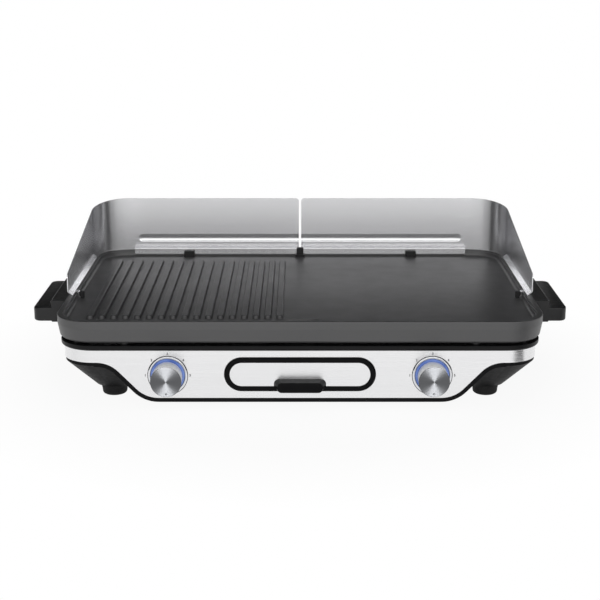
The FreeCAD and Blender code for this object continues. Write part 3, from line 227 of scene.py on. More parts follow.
class Finish:
    """A material made of nodes. Patterns read the object's own coordinates in metres."""

    def __init__(self, name):
        self.material = bpy.data.materials.new(name)
        self.material.use_nodes = True
        self.tree = self.material.node_tree
        self.shader = self.tree.nodes["Principled BSDF"]
        self.place = self.node("ShaderNodeTexCoord").outputs["Object"]

    def node(self, kind, **values):
        return add_node(self.tree, kind, **values)

    def link(self, source, target):
        self.tree.links.new(source, target)

    def set(self, **values):
        """Constant values on the shader's own sockets, with _ for a space."""
        for key, value in values.items():
            self.shader.inputs[key.replace("_", " ")].default_value = value
        return self

    def noise(self, scale, detail=2.0, stretch=(1, 1, 1)):
        mapping = self.node("ShaderNodeMapping", Scale=stretch)
        made = self.node("ShaderNodeTexNoise", Scale=scale, Detail=detail)
        self.link(self.place, mapping.inputs["Vector"])
        self.link(mapping.outputs["Vector"], made.inputs["Vector"])
        return made.outputs["Fac"]

    def ranged(self, value, low, high, start=0.3, end=0.7):
        limits = {"From Min": start, "From Max": end, "To Min": low, "To Max": high}
        made = self.node("ShaderNodeMapRange", **limits)
        self.link(value, made.inputs["Value"])
        return made.outputs["Result"]

    def colour(self, value, dark, light):
        """A base colour between two tones. Returns its socket."""
        made = self.node("ShaderNodeMix", data_type="RGBA")
        for socket in made.inputs:
            if socket.type == "RGBA":
                socket.default_value = srgb(*{"A": dark, "B": light}[socket.name])
        self.link(value, made.inputs["Factor"])
        mixed = next(s for s in made.outputs if s.type == "RGBA")
        self.link(mixed, self.shader.inputs["Base Color"])
        return mixed

    def rough(self, socket):
        self.link(socket, self.shader.inputs["Roughness"])

    def bump(self, height, distance):
        made = self.node("ShaderNodeBump", Strength=1.0, Distance=distance)
        self.link(height, made.inputs["Height"])
        self.link(made.outputs["Normal"], self.shader.inputs["Normal"])

    def brushed(self, anisotropy):
        """Reflections spread across the brush lines, which U crosses."""
        tangent = self.node("ShaderNodeTangent", direction_type="UV_MAP", uv_map=UV_NAME)
        self.link(tangent.outputs["Tangent"], self.shader.inputs["Tangent"])
        return self.set(Anisotropic=anisotropy)


def mottled(name, dark, light, cloud, sheen, grain=None, specular=0.5, metallic=0):
    """A finish of three noises, each with its scale and detail: for tone, roughness and grain."""
    finish = Finish(name).set(Specular_IOR_Level=specular, Metallic=metallic)
    finish.colour(finish.ranged(finish.noise(*cloud[:2]), 0, 1, *cloud[2:]), dark, light)
    finish.rough(finish.ranged(finish.noise(*sheen[:2]), *sheen[2:]))
    if grain:
        finish.bump(finish.noise(*grain[:2]), grain[2])
    return finish.material


def moulding(name, dark, light, rough, specular=0.5, grain=1400, depth=0.00003, metallic=0):
    """Moulded plastic with a fine eroded grain and slight clouding."""
    sheen = (220, 2, rough - 0.05, rough + 0.05)
    return mottled(name, dark, light, (60, 3), sheen, (grain, 2, depth), specular, metallic)


def plated(name, dark, light, rough, scale, depth=0.00001):
    """Bare or plated metal with a mottled tone."""
    sheen = (scale * 4, 2, rough - 0.06, rough + 0.06)
    return mottled(name, dark, light, (scale, 4), sheen, (scale * 12, 2, depth), metallic=1)


def sheet_steel(name, tone, roughness, anisotropy, grain):
    """Steel sheet with fine level brush lines, from 0 for none to 1 for plain to see."""
    finish = Finish(name).set(Metallic=1)
    lines = finish.noise(1, 4, (6, 6, 1900))
    cloud = finish.noise(9, 2)
    finish.colour(finish.ranged(lines, 0, 1), [t - 5 * grain for t in tone], [t + 3 * grain for t in tone])
    wide = finish.node("ShaderNodeMath", operation="ADD")
    spread = 0.04 * grain
    finish.link(finish.ranged(lines, roughness - spread, roughness + spread), wide.inputs[0])
    finish.link(finish.ranged(cloud, -spread / 2, spread / 2), wide.inputs[1])
    finish.rough(wide.outputs["Value"])
    finish.bump(lines, 0.000004 * grain)
    return finish.brushed(anisotropy).material


def turned_face(name):
    """Fine turning lines round the face."""
    finish = Finish(name).set(Metallic=1)
    uv = finish.node("ShaderNodeUVMap", uv_map=UV_NAME)
    split = finish.node("ShaderNodeSeparateXYZ")
    finish.link(uv.outputs["UV"], split.inputs["Vector"])
    rings = finish.node("ShaderNodeTexNoise", noise_dimensions="1D", Scale=5200.0, Detail=3.0)
    finish.link(split.outputs["X"], rings.inputs["W"])
    lines = rings.outputs["Fac"]
    finish.colour(finish.ranged(lines, 0, 1), (86, 87, 89), (104, 105, 107))
    finish.rough(finish.ranged(lines, 0.47, 0.55))
    finish.bump(lines, 0.000004)
    return finish.brushed(0.92).material


def lit_ring(name):
    """Clear plastic lit blue from behind, a little uneven between the lamps."""
    finish = Finish(name).set(Roughness=0.25, Coat_Weight=0.4, Emission_Strength=0.22)
    glow = finish.ranged(finish.noise(70, 1), 0, 1)
    blue = finish.colour(glow, (84, 112, 184), (120, 146, 212))
    finish.link(blue, finish.shader.inputs["Emission Color"])
    cells = finish.node("ShaderNodeTexVoronoi", Scale=900)
    finish.link(finish.place, cells.inputs["Vector"])
    finish.bump(cells.outputs["Distance"], 0.00003)
    return finish.material


# Each finish's maker, and what it is given after the name
recipes = {
    "coated_casting": (
        mottled, (53, 53, 54), (60, 60, 61), (2600, 3, 0.42, 0.62), (40, 3, 0.42, 0.47),
        (1800, 3, 0.00002), 1.0),
    "guard_steel": (sheet_steel, (235, 235, 237), 0.26, 0.7, 0.08),
    "fascia_steel": (sheet_steel, (231, 231, 232), 0.25, 0.7, 0.8),
    "black_moulding": (moulding, (23, 23, 24), (28, 28, 29), 0.46, 0.05),
    "pull_black": (moulding, (15, 15, 16), (19, 19, 20), 0.36, 0.06),
    "frame_black": (moulding, (17, 17, 18), (21, 21, 22), 0.40, 0.16, 2200),
    "handle_black": (moulding, (16, 16, 17), (22, 22, 23), 0.40, 0.4, 1000),
    "clip_black": (moulding, (26, 26, 27), (32, 32, 33), 0.5, 0.3),
    "turned_aluminium": (turned_face,),
    "silver_moulding": (moulding, (238, 239, 240), (244, 245, 246), 0.34, 0.5, 900, 0.00003, 0.1),
    "bezel_chrome": (mottled, (214, 215, 218), (228, 229, 232), (700, 2), (700, 2, 0.10, 0.16), None, 0.5, 1),
    "light_guide": (lit_ring,),
    "scale_ink": (mottled, (54, 56, 60), (72, 74, 78), (500, 2, 0, 1), (900, 2, 0.5, 0.65), None, 0.3),
    "foot_rubber": (moulding, (16, 16, 17), (23, 23, 23), 0.72, 0.25, 700),
    "reflector_sheet": (plated, (222, 223, 225), (234, 235, 237), 0.60, 40, 0.000001),
    "heater_sheath": (
        mottled, (92, 84, 78), (134, 128, 122), (14, 3), (300, 2, 0.42, 0.6), (900, 2, 0.00002), 0.5, 1),
    "tray_steel": (plated, (184, 185, 187), (202, 203, 205), 0.34, 50),
    "bracket_steel": (plated, (172, 172, 168), (194, 194, 190), 0.36, 120),
    "screw_steel": (plated, (166, 167, 168), (190, 191, 192), 0.30, 300),
    "switch_body": (moulding, (48, 42, 38), (58, 52, 47), 0.5, 0.5, 800),
    "board_green": (moulding, (32, 96, 52), (44, 112, 62), 0.35, 0.5, 500),
    "terminal_white": (moulding, (216, 213, 205), (228, 226, 219), 0.45, 0.5, 800),
    "lead_sleeve": (moulding, (204, 198, 184), (224, 219, 206), 0.7, 0.5, 1600, 0.0001),
}
finishes = {name: maker(name, *given) for name, (maker, *given) in recipes.items()}


def placed(name, data):
    """A new object in the scene."""
    made = bpy.data.objects.new(name, data)
    bpy.context.scene.collection.objects.link(made)
    return made


def add_piece(name, mesh, body, slot, nodes=(), finish=None):
    """A finished mesh as a piece on its body, in place of the solids it stands for."""
    piece = placed(name, mesh)
    mesh.materials.clear()
    mesh.materials.append(finishes[finish or slot])
    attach(piece, body)
    if nodes:
        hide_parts(*nodes)
    return piece


def shaded_mesh(name, bm, recalculate=True):
    """The mesh of a bmesh, smooth but for its real creases."""
    if recalculate:
        bmesh.ops.recalc_face_normals(bm, faces=bm.faces)
    for face in bm.faces:
        face.smooth = True
    mesh = bpy.data.meshes.new(name)
    bm.to_mesh(mesh)
    bm.free()
    mesh.set_sharp_from_angle(angle=crease_angle)
    return mesh


def evaluated_mesh(mesh, kind=None, inputs=None, **settings):
    """A mesh, or a curve's mesh, with a modifier applied, as a plain mesh."""
    worker = placed("worker", mesh)
    if kind:
        modifier = worker.modifiers.new("shaping", kind)
        for key, value in settings.items():
            setattr(modifier, key, value)
        for key, value in (inputs or {}).items():
            modifier[key] = value
    depsgraph = bpy.context.evaluated_depsgraph_get()
    made = bpy.data.meshes.new_from_object(worker.evaluated_get(depsgraph), depsgraph=depsgraph)
    made.name = mesh.name
    bpy.data.objects.remove(worker)
    return made


def rounded_line(points):
    """A line through (a, b) or (a, b, radius) points, with round corners where a radius is given."""
    line = []
    for i, point in enumerate(points):
        here = Vector(point[:2])
        if len(point) < 3:
            line.append(here)
            continue
        before = (Vector(points[i - 1][:2]) - here).normalized()
        after = (Vector(points[i + 1][:2]) - here).normalized()
        half_turn = (math.pi - before.angle(after)) / 2
        centre = here + (before + after).normalized() * point[2] / math.cos(half_turn)
        reach = point[2] * math.tan(half_turn)
        first = here + before * reach - centre
        last = here + after * reach - centre
        start = math.atan2(first.y, first.x)
        sweep = (math.atan2(last.y, last.x) - start + math.pi) % (2 * math.pi) - math.pi
        for k in range(edge_steps + 1):
            angle = start + sweep * k / edge_steps
            line.append(centre + Vector((math.cos(angle), math.sin(angle))) * point[2])
    return line


def supported(line):
    """A line with extra points near the ends of its long runs, so that rounds don't shade the flats."""
    made = [line[0]]
    for before, after in zip(line, line[1:]):
        way = after - before
        if way.length > 4 * support:
            step = way.normalized() * support
            made += [before + step, after - step]
        made.append(after)
    return made


def skin(bm, rings):
    """Faces between rings of points that have the same count. Returns the rings' vertices."""
    rows = [[bm.verts.new(p) for p in ring] for ring in rings]
    count = len(rows[0])
    for low, high in zip(rows, rows[1:]):
        for i in range(count):
            j = (i + 1) % count
            bm.faces.new((low[i], low[j], high[j], high[i]))
    return rows


def fill(bm, *rings):
    """A flat face inside the first ring and outside the others."""
    pairs = [pair for ring in rings for pair in zip(ring, ring[1:] + ring[:1])]
    edges = [bm.edges.get(pair) or bm.edges.new(pair) for pair in pairs]
    bmesh.ops.triangle_fill(bm, edges=edges, use_beauty=True)


def box_ring(half_x, half_y, radius, z):
    """A level rectangle with round corners."""
    ring = []
    for k, (sx, sy) in enumerate(((1, -1), (1, 1), (-1, 1), (-1, -1))):
        centre = Vector((sx * (half_x - radius), sy * (half_y - radius), z))
        for step in range(corner_steps + 1):
            angle = math.pi / 2 * (k - 1 + step / corner_steps)
            ring.append(centre + Vector((math.cos(angle), math.sin(angle), 0)) * radius)
    return ring


def slot_ring(middle_y, half_run, radius, z, along_y=False):
    """A level slot outline with round ends."""
    ring = []
    for sign in (1, -1):
        for step in range(corner_steps + 1):
            angle = math.pi * (step / corner_steps - 0.5)
            x = sign * (half_run + radius * math.cos(angle))
            y = sign * radius * math.sin(angle)
            ring.append(Vector((-y, middle_y + x, z) if along_y else (x, middle_y + y, z)))
    return ring


def lathe(bm, profile, base, way, turns=lathe_steps, closed=True):
    """Turn a (radius, distance) profile about an axis and close it. U runs along it and V round it."""
    profile = [tuple(point) for point in profile]
    if closed:
        at_axis = [point[0] < near_zero for point in (profile[0], profile[-1])]
        if at_axis == [True, False]:
            profile.append((0, profile[-1][1]))
        if at_axis == [False, True]:
            profile.insert(0, (0, profile[0][1]))
        if at_axis == [False, False] and (Vector(profile[0]) - Vector(profile[-1])).length > near_zero:
            profile.append(profile[0])
    across = way.orthogonal().normalized()
    beside = way.cross(across)
    uv_layer = bm.loops.layers.uv.get(UV_NAME) or bm.loops.layers.uv.new(UV_NAME)
    lengths = [0]
    for a, b in zip(profile, profile[1:]):
        lengths.append(lengths[-1] + (Vector(b) - Vector(a)).length)
    rows = []
    for radius, distance in profile:
        if rows and (radius, distance) == profile[0]:
            rows.append(rows[0])
            continue
        if radius < near_zero:
            rows.append([bm.verts.new(base + way * distance)] * turns)
            continue
        row = []
        for i in range(turns):
            angle = 2 * math.pi * i / turns
            outward = across * math.cos(angle) + beside * math.sin(angle)
            row.append(bm.verts.new(base + way * distance + outward * radius))
        rows.append(row)
    for k in range(len(rows) - 1):
        for i in range(turns):
            j = (i + 1) % turns
            places = {}
            for vert, row, column in (
                    (rows[k][i], k, i), (rows[k][j], k, i + 1),
                    (rows[k + 1][j], k + 1, i + 1), (rows[k + 1][i], k + 1, i)):
                places.setdefault(vert, (lengths[row], column / turns))
            face = bm.faces.new(list(places))
            for loop in face.loops:
                loop[uv_layer].uv = places[loop.vert]


def turned_mesh(name, line, base, way, turns=lathe_steps):
    """A round piece: a line turned about an axis."""
    bm = bmesh.new()
    lathe(bm, line, base, way, turns)
    return shaded_mesh(name, bm)


def softened(node, width):
    """A copy of a solid's mesh whose sharp edges are rounded."""
    bm = bmesh.new()
    bm.from_mesh(frame["nodes"][node].data)
    bmesh.ops.remove_doubles(bm, verts=bm.verts, dist=merge_distance)
    bmesh.ops.dissolve_limit(
        bm, angle_limit=flat_angle, verts=bm.verts, edges=bm.edges, use_dissolve_boundaries=False)
    return evaluated_mesh(
        shaded_mesh(node + "_skin", bm, recalculate=False), "BEVEL", width=width, segments=bevel_segments,
        limit_method="ANGLE", angle_limit=bevel_angle, use_clamp_overlap=True, harden_normals=True)


def project_uv(mesh):
    """U up the sheet and V along it, for a level brush finish."""
    layer = mesh.uv_layers.new(name=UV_NAME)
    for loop in mesh.loops:
        place = mesh.vertices[loop.vertex_index].co
        layer.data[loop.index].uv = (place.z, place.x + place.y)


plate_low, plate_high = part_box("grill_plate")
plate_half_x, plate_half_y = plate_high.x, plate_high.y
rim = plate_high.z
guard_gap = 2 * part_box("splash_guard_right")[0].x
plate_floor = rim - well_depth
plate_under = plate_floor - floor_thickness
plate_bottom = rim - wall_height
drain_y = -plate_half_y + drain_setback
guard_front = -plate_half_y + guard_front_setback
bead_end = plate_half_x - bead_end_margin
bead_round = (bead_foot ** 2 + bead_depth ** 2) / (2 * bead_depth)
bead_reaches = [bead_foot * k / bead_steps for k in range(bead_steps + 1)]


def make_plate():
    """The casting: skirt, wall with its crease, rim, well, drain and spout in one closed skin."""
    bm = bmesh.new()
    foot = wall_taper + wall_foot
    ledge = rim_width - rim_ledge
    profile = rounded_line([
        (skirt_thickness, plate_under), (skirt_thickness, plate_bottom, cast_round),
        (foot, plate_bottom, cast_round / 3), (wall_taper, plate_bottom + wall_foot, cast_round),
        (0, rim - crease_drop, cast_round * 3), (0, rim, cast_round),
        (ledge, rim, cast_round / 2), (ledge, rim - ledge_depth, cast_round / 3),
        (rim_width, rim - ledge_depth, cast_round / 2),
        (rim_width + well_lean, plate_floor, well_fillet),
        (rim_width + well_lean + 2 * well_fillet, plate_floor),
    ])
    walls = skin(bm, [
        box_ring(plate_half_x - inset, plate_half_y - inset, plate_corner - inset, z)
        for inset, z in supported(profile)])
    outer = drain_radius + drain_dish
    drain_line = rounded_line([
        (outer + dish_depth, plate_floor), (outer, plate_floor, dish_depth / 2),
        (outer - dish_depth, plate_floor - dish_depth, dish_depth / 2),
        (drain_radius, plate_floor - dish_depth, dish_depth / 2),
        (drain_radius, plate_low.z, spout_wall / 3),
        (drain_radius + spout_wall, plate_low.z, spout_wall / 3),
        (drain_radius + spout_wall, plate_under, spout_wall / 2),
        (drain_radius + 2 * spout_wall, plate_under),
    ])
    drain = skin(bm, [slot_ring(drain_y, drain_half_run, radius, z) for radius, z in drain_line])
    fill(bm, walls[-1], drain[0])
    fill(bm, walls[0], drain[-1])
    length = plate_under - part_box("base_frame")[1].z
    tip = length + peg_length
    post = rounded_line([
        (0, tip), (peg_radius, tip, peg_radius / 4), (peg_radius, length),
        (post_radius, length, peg_radius / 6), (post_radius, 0)])
    for sx in SIDES.values():
        for sy in (-1, 1):
            x, y = sx * (plate_half_x - post_inset[0]), sy * (plate_half_y - post_inset[1])
            lathe(bm, post, Vector((x, y, plate_under)), -UP, post_steps)
    return shaded_mesh("plate_casting", bm)


def copies_tree(name, lay_points):
    """A node tree that lays copies of a blank at points and gives them a finish."""
    tree = bpy.data.node_groups.new(name, "GeometryNodeTree")
    for socket, way, kind in (
            ("Geometry", "INPUT", "Geometry"), ("Blank", "INPUT", "Object"),
            ("Finish", "INPUT", "Material"), ("Geometry", "OUTPUT", "Geometry")):
        tree.interface.new_socket(socket, in_out=way, socket_type="NodeSocket" + kind)
    start = tree.nodes.new("NodeGroupInput")
    points, turn, size = lay_points(tree, start)
    kinds = ("ObjectInfo", "InstanceOnPoints", "RealizeInstances", "SetMaterial")
    blank, lay, plain, paint = [tree.nodes.new("GeometryNode" + kind) for kind in kinds]
    end = tree.nodes.new("NodeGroupOutput")
    for output, target in (
            (start.outputs["Blank"], blank.inputs["Object"]),
            (points, lay.inputs["Points"]),
            (blank.outputs["Geometry"], lay.inputs["Instance"]),
            (turn, lay.inputs["Rotation"]),
            (size, lay.inputs["Scale"]),
            (lay.outputs["Instances"], plain.inputs["Geometry"]),
            (plain.outputs["Geometry"], paint.inputs["Geometry"]),
            (start.outputs["Finish"], paint.inputs["Material"]),
            (paint.outputs["Geometry"], end.inputs["Geometry"])):
        if output:
            tree.links.new(output, target)
    return tree


def row_points(tree, start):
    """Points in a straight row."""
    for socket, kind in (("Count", "Int"), ("First", "Vector"), ("Step", "Vector")):
        tree.interface.new_socket(socket, in_out="INPUT", socket_type="NodeSocket" + kind)
    line = tree.nodes.new("GeometryNodeMeshLine")
    for output, target in (("Count", "Count"), ("First", "Start Location"), ("Step", "Offset")):
        tree.links.new(start.outputs[output], line.inputs[target])
    return line.outputs["Mesh"], None, None


def seat_points(tree, start):
    """The object's own vertices, each turned to the way that it points."""
    tree.interface.new_socket("Size", in_out="INPUT", socket_type="NodeSocketFloat")
    way = add_node(tree, "GeometryNodeInputNamedAttribute", data_type="FLOAT_VECTOR", Name="way")
    turn = tree.nodes.new("FunctionNodeAlignRotationToVector")
    tree.links.new(way.outputs["Attribute"], turn.inputs["Vector"])
    return start.outputs["Geometry"], turn.outputs["Rotation"], start.outputs["Size"]


def laid_copies(name, tree, holder, blank, material, **inputs):
    """The plain mesh that a tree makes of a blank's copies."""
    pattern = placed("blank", blank)
    values = {"Blank": pattern, "Finish": material, **inputs}
    sockets = {
        socket.identifier: values[socket.name] for socket in tree.interface.items_tree
        if socket.in_out == "INPUT" and socket.name in values}
    made = evaluated_mesh(holder, "NODES", sockets, node_group=tree)
    made.name = name
    bpy.data.objects.remove(pattern)
    return made


row_tree = copies_tree("row_of_copies", row_points)
seat_tree = copies_tree("copies_on_seats", seat_points)


def rib_blank():
    """One rib on the plate's floor, with a flared foot and soft shoulders."""
    bm = bmesh.new()
    length = 2 * plate_half_y - rib_front_margin - rib_back_margin
    half_run = (length - rib_width) / 2
    foot, top = rib_width / 2, rib_width / 2 - rib_lean
    line = rounded_line([
        (foot + rib_flare, -rib_flare / 4), (foot, rib_flare / 4, rib_flare), (top, rib_height, rib_round),
        (top - 2 * rib_round, rib_height)])
    rows = skin(bm, [slot_ring(0, half_run, radius, z, along_y=True) for radius, z in supported(line)])
    fill(bm, rows[-1])
    fill(bm, rows[0])
    return shaded_mesh("rib_blank", bm)


def make_ribs():
    first = (-plate_half_x + rib_side_margin, (rib_front_margin - rib_back_margin) / 2, plate_floor)
    return laid_copies(
        "plate_ribs", row_tree, bpy.data.meshes.new("rib_holder"), rib_blank(), finishes["coated_casting"],
        Count=rib_count, First=first, Step=(rib_pitch, 0, 0))


def guard_stations():
    """Places along the right guard's outer face, from the gap to the front: point, inward way and lip."""
    lip_x, lip_y = plate_half_x - lip_end_margin, plate_half_y - lip_end_margin
    corner_x, corner_y = plate_half_x - plate_corner, plate_half_y - plate_corner
    turns = [math.pi / 2 * k / edge_steps for k in range(edge_steps + 1)]
    along = [guard_gap / 2 + guard_corner * (1 - math.cos(t)) for t in turns]
    along += [along[-1] + (bead_end - along[-1]) * k / wall_steps for k in range(1, wall_steps)]
    along += [bead_end + reach for reach in bead_reaches] + [lip_x]
    stations = [(Vector((x, plate_half_y, 0)), -TO_BACK, "back") for x in along]
    stations.append((Vector((corner_x, plate_half_y, 0)), -TO_BACK, "corner"))
    for k in range(1, corner_steps):
        angle = math.pi / 2 * (1 - k / corner_steps)
        way = Vector((math.cos(angle), math.sin(angle), 0))
        stations.append((Vector((corner_x, corner_y, 0)) + way * plate_corner, -way, "corner"))
    stations.append((Vector((plate_half_x, corner_y, 0)), -RIGHT, "corner"))
    ahead = [guard_front + guard_corner * (1 - math.cos(t)) for t in turns]
    behind = [lip_y + (ahead[-1] - lip_y) * k / side_steps for k in range(side_steps)] + ahead[::-1]
    clip = sum(corner.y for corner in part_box("guard_clip_side_right")) / 2
    tab = [clip - tab_width / 2, clip + tab_width / 2]
    for y in sorted(behind + tab, reverse=True):
        stations.append((Vector((plate_half_x, y, 0)), -RIGHT, "tab" if y in tab else "side"))
    return stations


def guard_top(place, kind):
    """The height of the guard's upper edge, with its two outer corners rounded."""
    slope = (guard_rise - guard_front_rise) / (plate_half_y - guard_front)
    top = rim + min(guard_rise, guard_front_rise + slope * (place.y - guard_front))
    short = place.x - guard_gap / 2 if kind == "back" else place.y - guard_front
    if short < guard_corner:
        top -= guard_corner - math.sqrt(max(0, guard_corner ** 2 - (guard_corner - short) ** 2))
    return top


def bead_press(place, z):
    """How far the bead is pressed out at a point of the back wall: a plain slope above, a round below."""
    beyond = max(0, place.x - bead_end)
    rise = z - rim - bead_rise
    reach = math.hypot(beyond, rise)
    if reach >= bead_foot:
        return 0
    slope = bead_depth * (1 - reach / bead_foot)
    curve = math.sqrt(bead_round ** 2 - reach ** 2) - bead_round + bead_depth
    above = (1 + rise / reach) / 2 if reach else 1
    return above * slope + (1 - above) * curve


def make_guard(side):
    """One half of the guard as a folded sheet: wall, bead, joggle over the rim and lip inside it."""
    bm = bmesh.new()
    uv_layer = bm.loops.layers.uv.new(UV_NAME)
    stations = guard_stations()
    fold, seat = rim + joggle_rise, rim + seat_gap
    zone = [rim + bead_rise + reach for reach in [-r for r in bead_reaches[:0:-1]] + bead_reaches]
    run = {}
    across = {}
    travelled = 0
    columns = []
    for i, (place, inward, kind) in enumerate(stations):
        travelled += (place - stations[i - 1][0]).length if i else 0
        top = guard_top(place, kind)
        above = zone[-1] + support
        heights = [fold, fold + fold_radius, fold + fold_radius + support, zone[0] - support] + zone
        heights += [above + (top - above) * k / upper_steps for k in range(upper_steps + 1)]
        column = []
        for z in heights:
            press = bead_press(place, z) if kind == "back" else 0
            column.append(bm.verts.new(place - inward * press + UP * z))
        lower = [(0, fold), (0, seat)]
        if kind in ("side", "tab"):
            lower = [(0, fold), (side_flange, seat)]
        if kind == "tab":
            hook = [(side_flange, seat), (lip_inset, seat, lip_fold), (lip_inset, rim - lip_depth)]
            lower += rounded_line(hook)[1:]
        if kind == "back":
            lower = supported(rounded_line([
                (0, fold + fold_radius), (0, fold, fold_radius), (lip_inset, seat + lip_shoulder, lip_fold),
                (lip_inset, rim - lip_depth)])[1:])
            column[0].co = place + inward * lower[0][0] + UP * lower[0][1]
        foot = [column[0]] + [bm.verts.new(place + inward * inset + UP * z) for inset, z in lower[1:]]
        for line, sign in ((column, 1), (foot, -1)):
            length = 0
            for below, vert in zip([line[0]] + line, line):
                length += (vert.co - below.co).length
                run[vert], across[vert] = travelled, sign * length
        columns.append((column, foot, kind))

    def dropped(own):
        """A plain foot under a vertex of the fold, where the lip ends."""
        other = bm.verts.new(Vector((own.co.x, own.co.y, seat)))
        run[other], across[other] = run[own], -(own.co - other.co).length
        return [own, other]

    for (first, first_foot, first_kind), (second, second_foot, second_kind) in zip(columns, columns[1:]):
        if (first_kind, second_kind) == ("back", "corner"):
            first_foot = dropped(first[0])
        if (first_kind, second_kind) == ("corner", "side"):
            second_foot = dropped(second[0])
        for a, b in ((first, second), (first_foot, second_foot)):
            for low in range(min(len(a), len(b)) - 1):
                bm.faces.new((a[low], b[low], b[low + 1], a[low + 1]))
    bm.normal_update()
    for face in bm.faces:
        level = abs(face.normal.z) > level_share
        for loop in face.loops:
            place = (across[loop.vert], run[loop.vert])
            loop[uv_layer].uv = place[::-1] if level else place
    bmesh.ops.recalc_face_normals(bm, faces=bm.faces)
    wall = max(bm.faces, key=lambda face: face.calc_area())
    inward = -TO_BACK if abs(wall.normal.y) > abs(wall.normal.x) else -RIGHT
    if wall.normal.dot(inward) > 0:
        bmesh.ops.reverse_faces(bm, faces=bm.faces)
    if side == "left":
        bmesh.ops.scale(bm, vec=(-1, 1, 1), verts=bm.verts)
        bmesh.ops.reverse_faces(bm, faces=bm.faces)
    mesh = shaded_mesh("splash_guard_sheet_" + side, bm, recalculate=False)
    made = evaluated_mesh(mesh, "SOLIDIFY", thickness=guard_sheet, offset=-1, use_even_offset=True)
    made.set_sharp_from_angle(angle=crease_angle)
    return made


def dial_place(node):
    """Radius and depth of a round piece on the front, and the middle of its back."""
    low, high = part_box(node)
    base = Vector(((low.x + high.x) / 2, high.y, (low.z + high.z) / 2))
    return (high.x - low.x) / 2, high.y - low.y, base


def make_knob_cap(side):
    """The turned face: a shallow dish with a bright chamfer, and a pointer dimple near its lower edge."""
    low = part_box("knob_cap_" + side)[0]
    radius, thick, base = dial_place("knob_cap_" + side)
    line = []
    for k in range(cap_dish_steps - 1):
        share = k / cap_dish_steps
        line.append((radius * share, thick - thick * cap_dish * (1 - share ** 2)))
    line += rounded_line([
        (radius * cap_flat, thick), (radius * cap_chamfer, thick, thick / 12),
        (radius, thick * cap_wall, thick / 8), (radius, 0)])
    mesh = turned_mesh("knob_face_" + side, line + [(radius * cap_back, 0), (0, 0)], base, TO_COOK)
    turns = [math.pi * k / ball_steps for k in range(ball_steps + 1)]
    ball = [(pointer_ball * math.sin(turn), -pointer_ball * math.cos(turn)) for turn in turns]
    ball = turned_mesh("pointer_ball", ball, Vector(), TO_COOK, 2 * ball_steps)
    cutter = placed("pointer_ball", ball)
    cutter.location = (base.x, low.y - pointer_ball + pointer_depth, low.z + pointer_setback)
    made = evaluated_mesh(mesh, "BOOLEAN", operation="DIFFERENCE", object=cutter)
    made.set_sharp_from_angle(angle=crease_angle)
    bpy.data.objects.remove(cutter)
    return made


def make_knob_body(side):
    """The flared silver side of a knob, with a fine groove under the face and a rounded foot."""
    face, length, base = dial_place("knob_body_" + side)
    foot, wall, groove = face * knob_foot, face * knob_wall, length * knob_groove
    hollow = length * knob_hollow
    line = rounded_line([
        (face * knob_bore, hollow), (foot - wall, hollow, wall / 2), (foot - wall, 0, wall / 6),
        (foot, 0, wall / 4), (face - groove * 0.3, length - groove * 3, groove / 2),
        (face - groove, length - groove * 2.4, groove / 4),
        (face - groove, length - groove * 1.6, groove / 4),
        (face, length - groove, groove / 3), (face, length, groove / 5), (face * 0.5, length)])
    return turned_mesh("knob_side_" + side, line, base, TO_COOK)


def make_bezel(side):
    """A polished ring with a rounded crown."""
    radius, thick, base = dial_place("dial_bezel_" + side)
    wall = radius * bezel_wall
    line = rounded_line([
        (radius - wall, 0), (radius - wall, thick * 0.75, wall / 6), (radius - wall * 0.8, thick, wall / 6),
        (radius - wall * 0.3, thick, wall / 5), (radius, thick * 0.4, wall / 6), (radius, 0)])
    return turned_mesh("dial_ring_" + side, line, base, TO_COOK)


def make_bezel_shade_ring(side):
    """Painted shade: a thin black ring round a bezel, standing for the shadow line at its edge."""
    radius, thick, base = dial_place("dial_bezel_" + side)
    width, depth = radius * shade_ring_width, thick * shade_ring_depth
    inner, outer = radius - width, radius + width
    line = rounded_line([(inner, 0), (inner, depth), (outer, depth, depth / 3), (outer, 0)])
    return turned_mesh("dial_seal_" + side, line, base, TO_COOK)


def make_numbers(side):
    """Plain numbers round the upper half of a dial, printed on the steel."""
    middle = dial_place("dial_bezel_" + side)[2]
    middle.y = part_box("front_fascia")[0].y
    bm = bmesh.new()
    for k, number in enumerate(mark_numbers):
        curve = bpy.data.curves.new("number", "FONT")
        curve.body, curve.size = number, mark_size
        curve.align_x = curve.align_y = "CENTER"
        curve.extrude, curve.offset = mark_depth, mark_bold
        curve.resolution_u = 3
        flat = evaluated_mesh(curve)
        angle = math.pi - k * mark_turn
        place = middle + Vector((math.cos(angle), 0, math.sin(angle))) * mark_radius
        flat.transform(Matrix.Translation(place) @ Matrix.Rotation(math.pi / 2, 4, "X"))
        bm.from_mesh(flat)
    mesh = bpy.data.meshes.new("dial_numbers_" + side)
    bm.to_mesh(mesh)
    bm.free()
    return mesh


def make_foot(name):
    """A rubber foot with a lip, a waist and a grooved sole."""
    low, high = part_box(name)
    top, height = (high.x - low.x) / 2, high.z - low.z
    sole, waist, recess = top * foot_sole, top * foot_waist, top * foot_recess
    base = Vector(((low.x + high.x) / 2, (low.y + high.y) / 2, low.z))
    line = rounded_line([
        (recess * 0.45, height * 0.4), (recess, height * 0.4, height / 16), (recess, 0, height / 16),
        (sole * 0.66, 0, height / 24), (sole * 0.70, height * 0.06, height / 40),
        (sole * 0.76, height * 0.06, height / 40), (sole * 0.80, 0, height / 24),
        (sole + height * 0.28, 0, height * 0.28), (waist, height * 0.5, height / 10),
        (top, height * 0.97, height / 30), (top, height), (recess, height)])
    return turned_mesh(name + "_rubber", line, base, UP, foot_steps)


